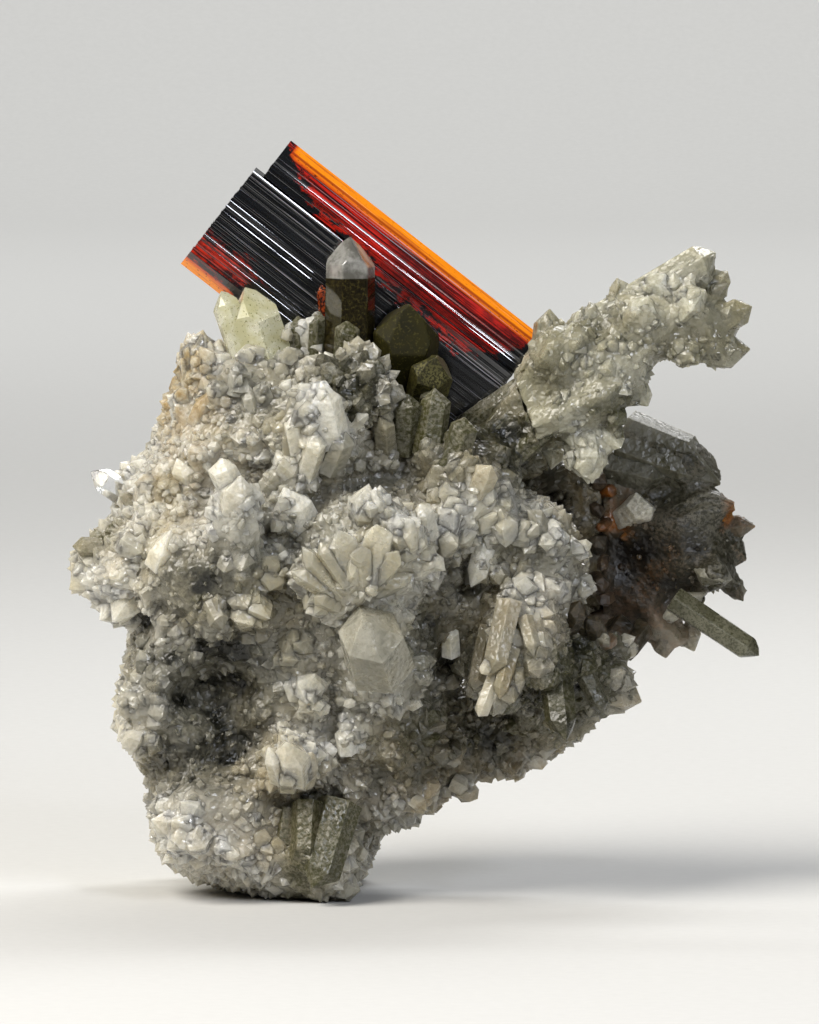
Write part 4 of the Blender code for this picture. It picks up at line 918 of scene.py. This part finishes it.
def brookite_finish(name):
    """Brookite: an adamantine lustre, so a high index and low roughness, over a body of three depths of colour.

    The zones attribute gives how far a point lies inside the red, the orange and the left-hand red zone, and
    noise drawn out along the blade gives these zones their frayed edges. Its fourth value is a painted glow
    that darkens the red where it is low, and pale rules painted over the face stand in for sheen.
    """
    material, tree = new_material(name)
    zones = add_node(tree, "Attribute", attribute_name="zones")
    parts = add_node(tree, "SeparateColor", {"Color": zones.outputs["Color"]}).outputs
    ruled = add_node(tree, "UVMap", uv_map="ruled").outputs["UV"]
    # Streaks 0.17 mm, pale rules 0.18 mm wide that are painted sheen, frayed patches of half a millimetre and
    # flecks of 0.15 mm.
    streak, sheen_rule, patch, fleck = (
        add_node(tree, "TexNoise", {
            "Vector": add_node(tree, "Mapping", {"Vector": ruled, "Scale": stretch}).outputs[0],
            "Scale": 1, "Detail": detail, "Roughness": rough,
        }).outputs["Fac"]
        for stretch, detail, rough in (
            ((0.12, 6.0, 1), 4, 0.6),
            ((0.025, 5.5, 1), 3, 0.7),
            ((0.9, 1.9, 1), 6, 0.7),
            ((2.6, 7.0, 1), 2, 0.5),
        )
    )
    across = add_node(tree, "SeparateXYZ", {"Vector": ruled}).outputs["Y"]

    fray, blotches, dotted, sheen_rule_part, dullness = (
        add_node(tree, "MapRange", eased, interpolation_type="SMOOTHSTEP").outputs[0]
        for eased in (
            (patch, 0.25, 0.75, -1.1, 1.1),
            (patch, 0.3, 0.7, -0.3, 0.3),
            (across, 12.4, 12.6, 1, 0.25),
            (across, 2.6, 4.4, 0, 1),
            (streak, 0.3, 0.7, 0.06, 0.14),
        )
    )
    red_depth, left_depth, glow = (
        add_node(tree, "Math", pair, operation="ADD").outputs[0]
        for pair in ((parts["Red"], fray), (parts["Blue"], fray), (zones.outputs["Alpha"], blotches))
    )
    from_groove = add_node(tree, "Math", (across, ORANGE_GROOVE), operation="SUBTRACT").outputs[0]
    beside = add_node(tree, "Math", (from_groove,), operation="ABSOLUTE").outputs[0]
    tones = layer_colours(tree, (
        ("core", None, streak, 0.35, 0.7, 0, 1, "#040405", "#0E1115"),
        ("red", None, streak, 0.42, 0.6, 0, 1, "#3A0302", "#B81808"),
        ("red", None, red_depth, 0.2, 1, 0.2, 0, "red", "#DA2C0C"),
        ("red", None, glow, 0, 0.9, 0.8, 0, "red", "#240202"),
        ("body", None, red_depth, -0.15, 0.5, 0, 1, "core", "red"),
        ("deep", None, streak, 0.4, 0.62, 0, 1, "#B8240C", "#2A0604"),
        ("body", None, left_depth, -0.4, 1.5, 0, 1, "body", "deep"),
        ("amber", None, parts["Green"], 0, 0.5, 0, 1, "#C2440A", "#F08C08"),
        ("amber", None, beside, 0.03, 0.16, 0.85, 0, "amber", "#8A2202"),
        ("amber", None, streak, 0.52, 0.62, 0, 0.6, "amber", "#A83A06"),
        ("amber", dotted, fleck, 0.61, 0.67, 0, 0.9, "amber", "#3E1404"),
        ("body", None, parts["Green"], -0.06, 0.1, 0, 1, "body", "amber"),
        # Painted sheen: pale rules over the face stand in for light caught along the growth steps.
        ("body", sheen_rule_part, sheen_rule, 0.6, 0.66, 0, 0.42, "body", "#C6C4CC"),
    ))[0]

    shader = add_node(tree, "BsdfPrincipled", {
        "Base Color": tones["body"],
        "Roughness": dullness,
        "IOR": 2.6,
        "Specular IOR Level": 0.22,
        "Subsurface Weight": 0.15,
        "Subsurface Radius": (1.0, 0.35, 0.1),
        "Subsurface Scale": 0.3 * MM,
    })
    add_node(tree, "OutputMaterial", {"Surface": shader.outputs[0]})
    return material


brookite = brookite_finish("brookite")
for name, blade in (("brookite_lower_blade", LOWER_BLADE), ("brookite_upper_blade", UPPER_BLADE)):
    dress(blade_mesh(name, *blade, GRAINS), brookite, "brookite_crystal", "brookite")


# The seated crystals: single quartz points and a brookite sliver that stand in the matrix. Each is the packed
# solid with its edges eased by a hair, as natural edges are, so that they catch the light.
def single_crystal(node, name, ease):
    """A merged copy of a packed crystal, with narrow facets along its edges."""
    form = bmesh.new()
    form.from_mesh(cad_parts[node].data)
    bmesh.ops.remove_doubles(form, verts=form.verts, dist=1e-6)
    bmesh.ops.dissolve_limit(form, angle_limit=math.radians(0.5), verts=form.verts, edges=form.edges)
    mesh = bpy.data.meshes.new(name)
    form.to_mesh(mesh)
    form.free()
    mesh.materials.clear()
    mesh.shade_flat()
    piece = link_up(name, mesh)
    ease_edges(piece, ease)
    return piece


def plain_quartz(name, body, veil, see_through, roughness, speck, speck_share, gloss=0.5):
    """Quartz of a single crystal: glassy, with veils and with chlorite scales scattered through it."""
    material, tree = new_material(name)
    place = add_node(tree, "TexCoord").outputs["Object"]
    # Veils lie 2 mm apart. The scales are 0.2 mm, some four times as coarse as real, so that they show.
    veils, scales = (
        add_node(tree, "TexNoise", {
            "Vector": place, "Scale": scale, "Detail": detail, "Roughness": 0.6,
        }).outputs["Fac"]
        for scale, detail in ((500, 5), (5200, 2))
    )
    least = 0.62 - 0.3 * speck_share
    tones = layer_colours(tree, (
        ("veiled", None, veils, 0.35, 0.68, 0, 1, body, veil),
        ("flecked", None, scales, least, least + 0.1, 0, 1, "veiled", speck),
    ))[0]
    eased = (veils, 0.3, 0.7, roughness, roughness + 0.2)
    dullness = add_node(tree, "MapRange", eased, interpolation_type="SMOOTHSTEP").outputs[0]
    bump = add_node(tree, "Bump", {"Height": scales, "Strength": 0.25, "Distance": 0.03 * MM})
    shader = add_node(tree, "BsdfPrincipled", {
        "Base Color": tones["flecked"],
        "Roughness": dullness,
        "IOR": QUARTZ_IOR,
        "Specular IOR Level": gloss,
        "Subsurface Weight": 0.25,
        "Subsurface Radius": (1.0, 0.95, 0.8),
        "Subsurface Scale": 1.0 * MM,
        "Transmission Weight": see_through,
        "Normal": bump.outputs["Normal"],
    })
    add_node(tree, "OutputMaterial", {"Surface": shader.outputs[0]})
    return material


PHANTOM_TOP = 49.4  # height above the floor of the line where its green body ends


def phantom_finish():
    """A quartz point with a phantom: chlorite settled on it once, so the body is olive brown up to a sharp
    line, and the clear, faintly milky tip grew later over it."""
    material, tree = new_material("phantom_quartz")
    place = add_node(tree, "TexCoord").outputs["Object"]
    height = add_node(tree, "SeparateXYZ", {"Vector": place}).outputs["Z"]
    scales, veils = (
        add_node(tree, "TexNoise", {
            "Vector": place, "Scale": scale, "Detail": detail, "Roughness": 0.6,
        }).outputs["Fac"]
        for scale, detail in ((4200, 3), (700, 5))
    )
    tones, shares = layer_colours(tree, (
        ("body", None, scales, 0.42, 0.6, 0, 1, "#181408", "#352F16"),
        ("tip", None, veils, 0.35, 0.65, 0, 1, "#7E7C74", "#C9C8C2"),
        ("whole", None, height, PHANTOM_TOP * MM, (PHANTOM_TOP + 0.12) * MM, 0, 1, "body", "tip"),
    ))
    eased = (shares["whole"], 0, 1, 0.25, 0.55)
    clearness = add_node(tree, "MapRange", eased, interpolation_type="SMOOTHSTEP").outputs[0]
    shader = add_node(tree, "BsdfPrincipled", {
        "Base Color": tones["whole"],
        "Roughness": 0.07,
        "IOR": QUARTZ_IOR,
        "Subsurface Weight": 0.3,
        "Subsurface Radius": (1.0, 0.95, 0.8),
        "Subsurface Scale": 0.8 * MM,
        "Transmission Weight": clearness,
    })
    add_node(tree, "OutputMaterial", {"Surface": shader.outputs[0]})
    return material


for node, name, slot, ease, finish in (
    ("brookite_splinter", "brookite_sliver", "brookite_sliver", 0.06,
     plain_quartz("brookite_sliver", "#7A2A12", "#B8551E", 0.3, 0.12, "#2A0C06", 0.5)),
    ("phantom_quartz_point", "phantom_point", "phantom_quartz", 0.08, phantom_finish()),
    ("chlorite_quartz_large", "chlorite_point_large", "chlorite_quartz", 0.08,
     plain_quartz("chlorite_quartz", "#1D1B06", "#2A270B", 0.0, 0.5, "#3E3A16", 0.2, 0.12)),
    ("chlorite_quartz_middle", "chlorite_point_middle", "chlorite_quartz_small", 0.08,
     plain_quartz("chlorite_quartz_small", "#413E1C", "#5E5A32", 0.1, 0.4, "#24220C", 0.6, 0.2)),
    ("pale_quartz_pair", "pale_points", "pale_quartz", 0.08,
     plain_quartz("pale_quartz", "#CAC79C", "#EAE8D2", 0.45, 0.12, "#8C8A58", 0.1)),
    ("clear_quartz_point", "clear_point", "clear_quartz", 0.06,
     plain_quartz("clear_quartz", "#F4F6F7", "#FFFFFF", 0.95, 0.03, "#E0E2E2", 0.05)),
    ("lone_quartz_prism", "lone_prism", "prism_quartz", 0.08,
     plain_quartz("prism_quartz", "#5F5E4A", "#807E69", 0.4, 0.2, "#4A4934", 0.5)),
):
    dress(single_crystal(node, name, ease), finish, node, slot)


# The setting: a plain pale sweep, a large soft light above at the left, two small ones at the right that draw
# the blade's glints, one behind, one for the wall, and a camera with a long lens that looks down by 4 degrees.
WALL_AT = 1.45
BEND = 0.3


def sweep_mesh():
    """A floor that curves up into a wall: one profile drawn out to both sides."""
    turn = np.linspace(-math.pi / 2, 0, 24)
    depth = np.concatenate([[-0.6, WALL_AT - BEND], WALL_AT - BEND + BEND * np.cos(turn), [WALL_AT]])
    height = np.concatenate([[0, 0], BEND + BEND * np.sin(turn), [1.6]])
    sides = np.array([-1.5, 1.5])
    grid = np.stack(np.broadcast_arrays(sides[:, None], depth, height), -1)
    mesh = bpy.data.meshes.new("sweep")
    number = np.arange(grid.shape[0] * grid.shape[1]).reshape(grid.shape[:2])
    quads = np.stack([number[0, :-1], number[1, :-1], number[1, 1:], number[0, 1:]], -1)
    mesh.from_pydata(grid.reshape(-1, 3), [], quads.tolist())
    mesh.shade_smooth()
    return mesh


sweep = link_up("sweep", sweep_mesh())
paper, paper_tree = new_material("matt_paper")
fibres = add_node(paper_tree, "TexNoise", {
    "Vector": add_node(paper_tree, "TexCoord").outputs["Object"], "Scale": 900, "Detail": 3,
})
paper_tone = add_node(paper_tree, "Mix", {
    SHARE: fibres.outputs["Fac"], UNDER: "#C4C4C2", OVER: "#CBCBC9",
}, data_type="RGBA")
paper_shader = add_node(paper_tree, "BsdfPrincipled", {
    "Base Color": paper_tone.outputs[2],
    "Roughness": 0.9,
    "Specular IOR Level": 0.2,
})
add_node(paper_tree, "OutputMaterial", {"Surface": paper_shader.outputs[0]})
sweep.data.materials.append(paper)


def soft_light(name, place, aim, size, power, tint="#FFFFFF"):
    lamp = bpy.data.lights.new(name, "AREA")
    lamp.shape = "DISK"
    lamp.size = size
    lamp.energy = power
    lamp.color = colour(tint)[:3]
    holder = link_up(name, lamp)
    holder.location = place
    holder.rotation_euler = (Vector(aim) - Vector(place)).to_track_quat("-Z", "Y").to_euler()


soft_light("key", (-0.28, -0.24, 0.38), (0, 0, 0.03), 0.36, 3.9, "#FFFAF2")
soft_light("lines", (0.16, -0.42, 0.22), (0, 0, 0.045), 0.08, 0.5, "#EEF3FF")
soft_light("lines_high", (0.2, -0.38, 0.29), (0, 0, 0.045), 0.07, 0.45, "#EEF3FF")
soft_light("rim", (0.12, 0.25, 0.3), (0, 0, 0.035), 0.14, 0.7)
soft_light("backdrop", (0, 0.75, 0.9), (0, 1.3, 0.2), 0.5, 9.0)
world = bpy.data.worlds.new("studio")
world.use_nodes = True
ambient = world.node_tree.nodes["Background"].inputs
ambient["Color"].default_value = colour("#E2E2E2")
ambient["Strength"].default_value = 0.09
bpy.context.scene.world = world
bpy.context.scene.view_settings.view_transform = "Standard"

CAMERA_AWAY = 1.0
VIEW_DOWN = math.radians(4)
FRAME_HIGH = 1024 * 0.08 * MM  # one picture point is 0.08 mm
PICTURE_MIDDLE = (-0.28, 31.68, 0.0)
camera = bpy.data.cameras.new("camera")
camera.sensor_fit = "VERTICAL"
camera.sensor_height = 24
camera.lens = camera.sensor_height * CAMERA_AWAY / FRAME_HIGH
camera.clip_start = 0.01
viewer = link_up("camera", camera)
sight = Vector((0, math.cos(VIEW_DOWN), -math.sin(VIEW_DOWN)))
viewer.location = Vector(spot(*PICTURE_MIDDLE)) - sight * CAMERA_AWAY
viewer.rotation_euler = sight.to_track_quat("-Z", "Y").to_euler()
bpy.context.scene.camera = viewer
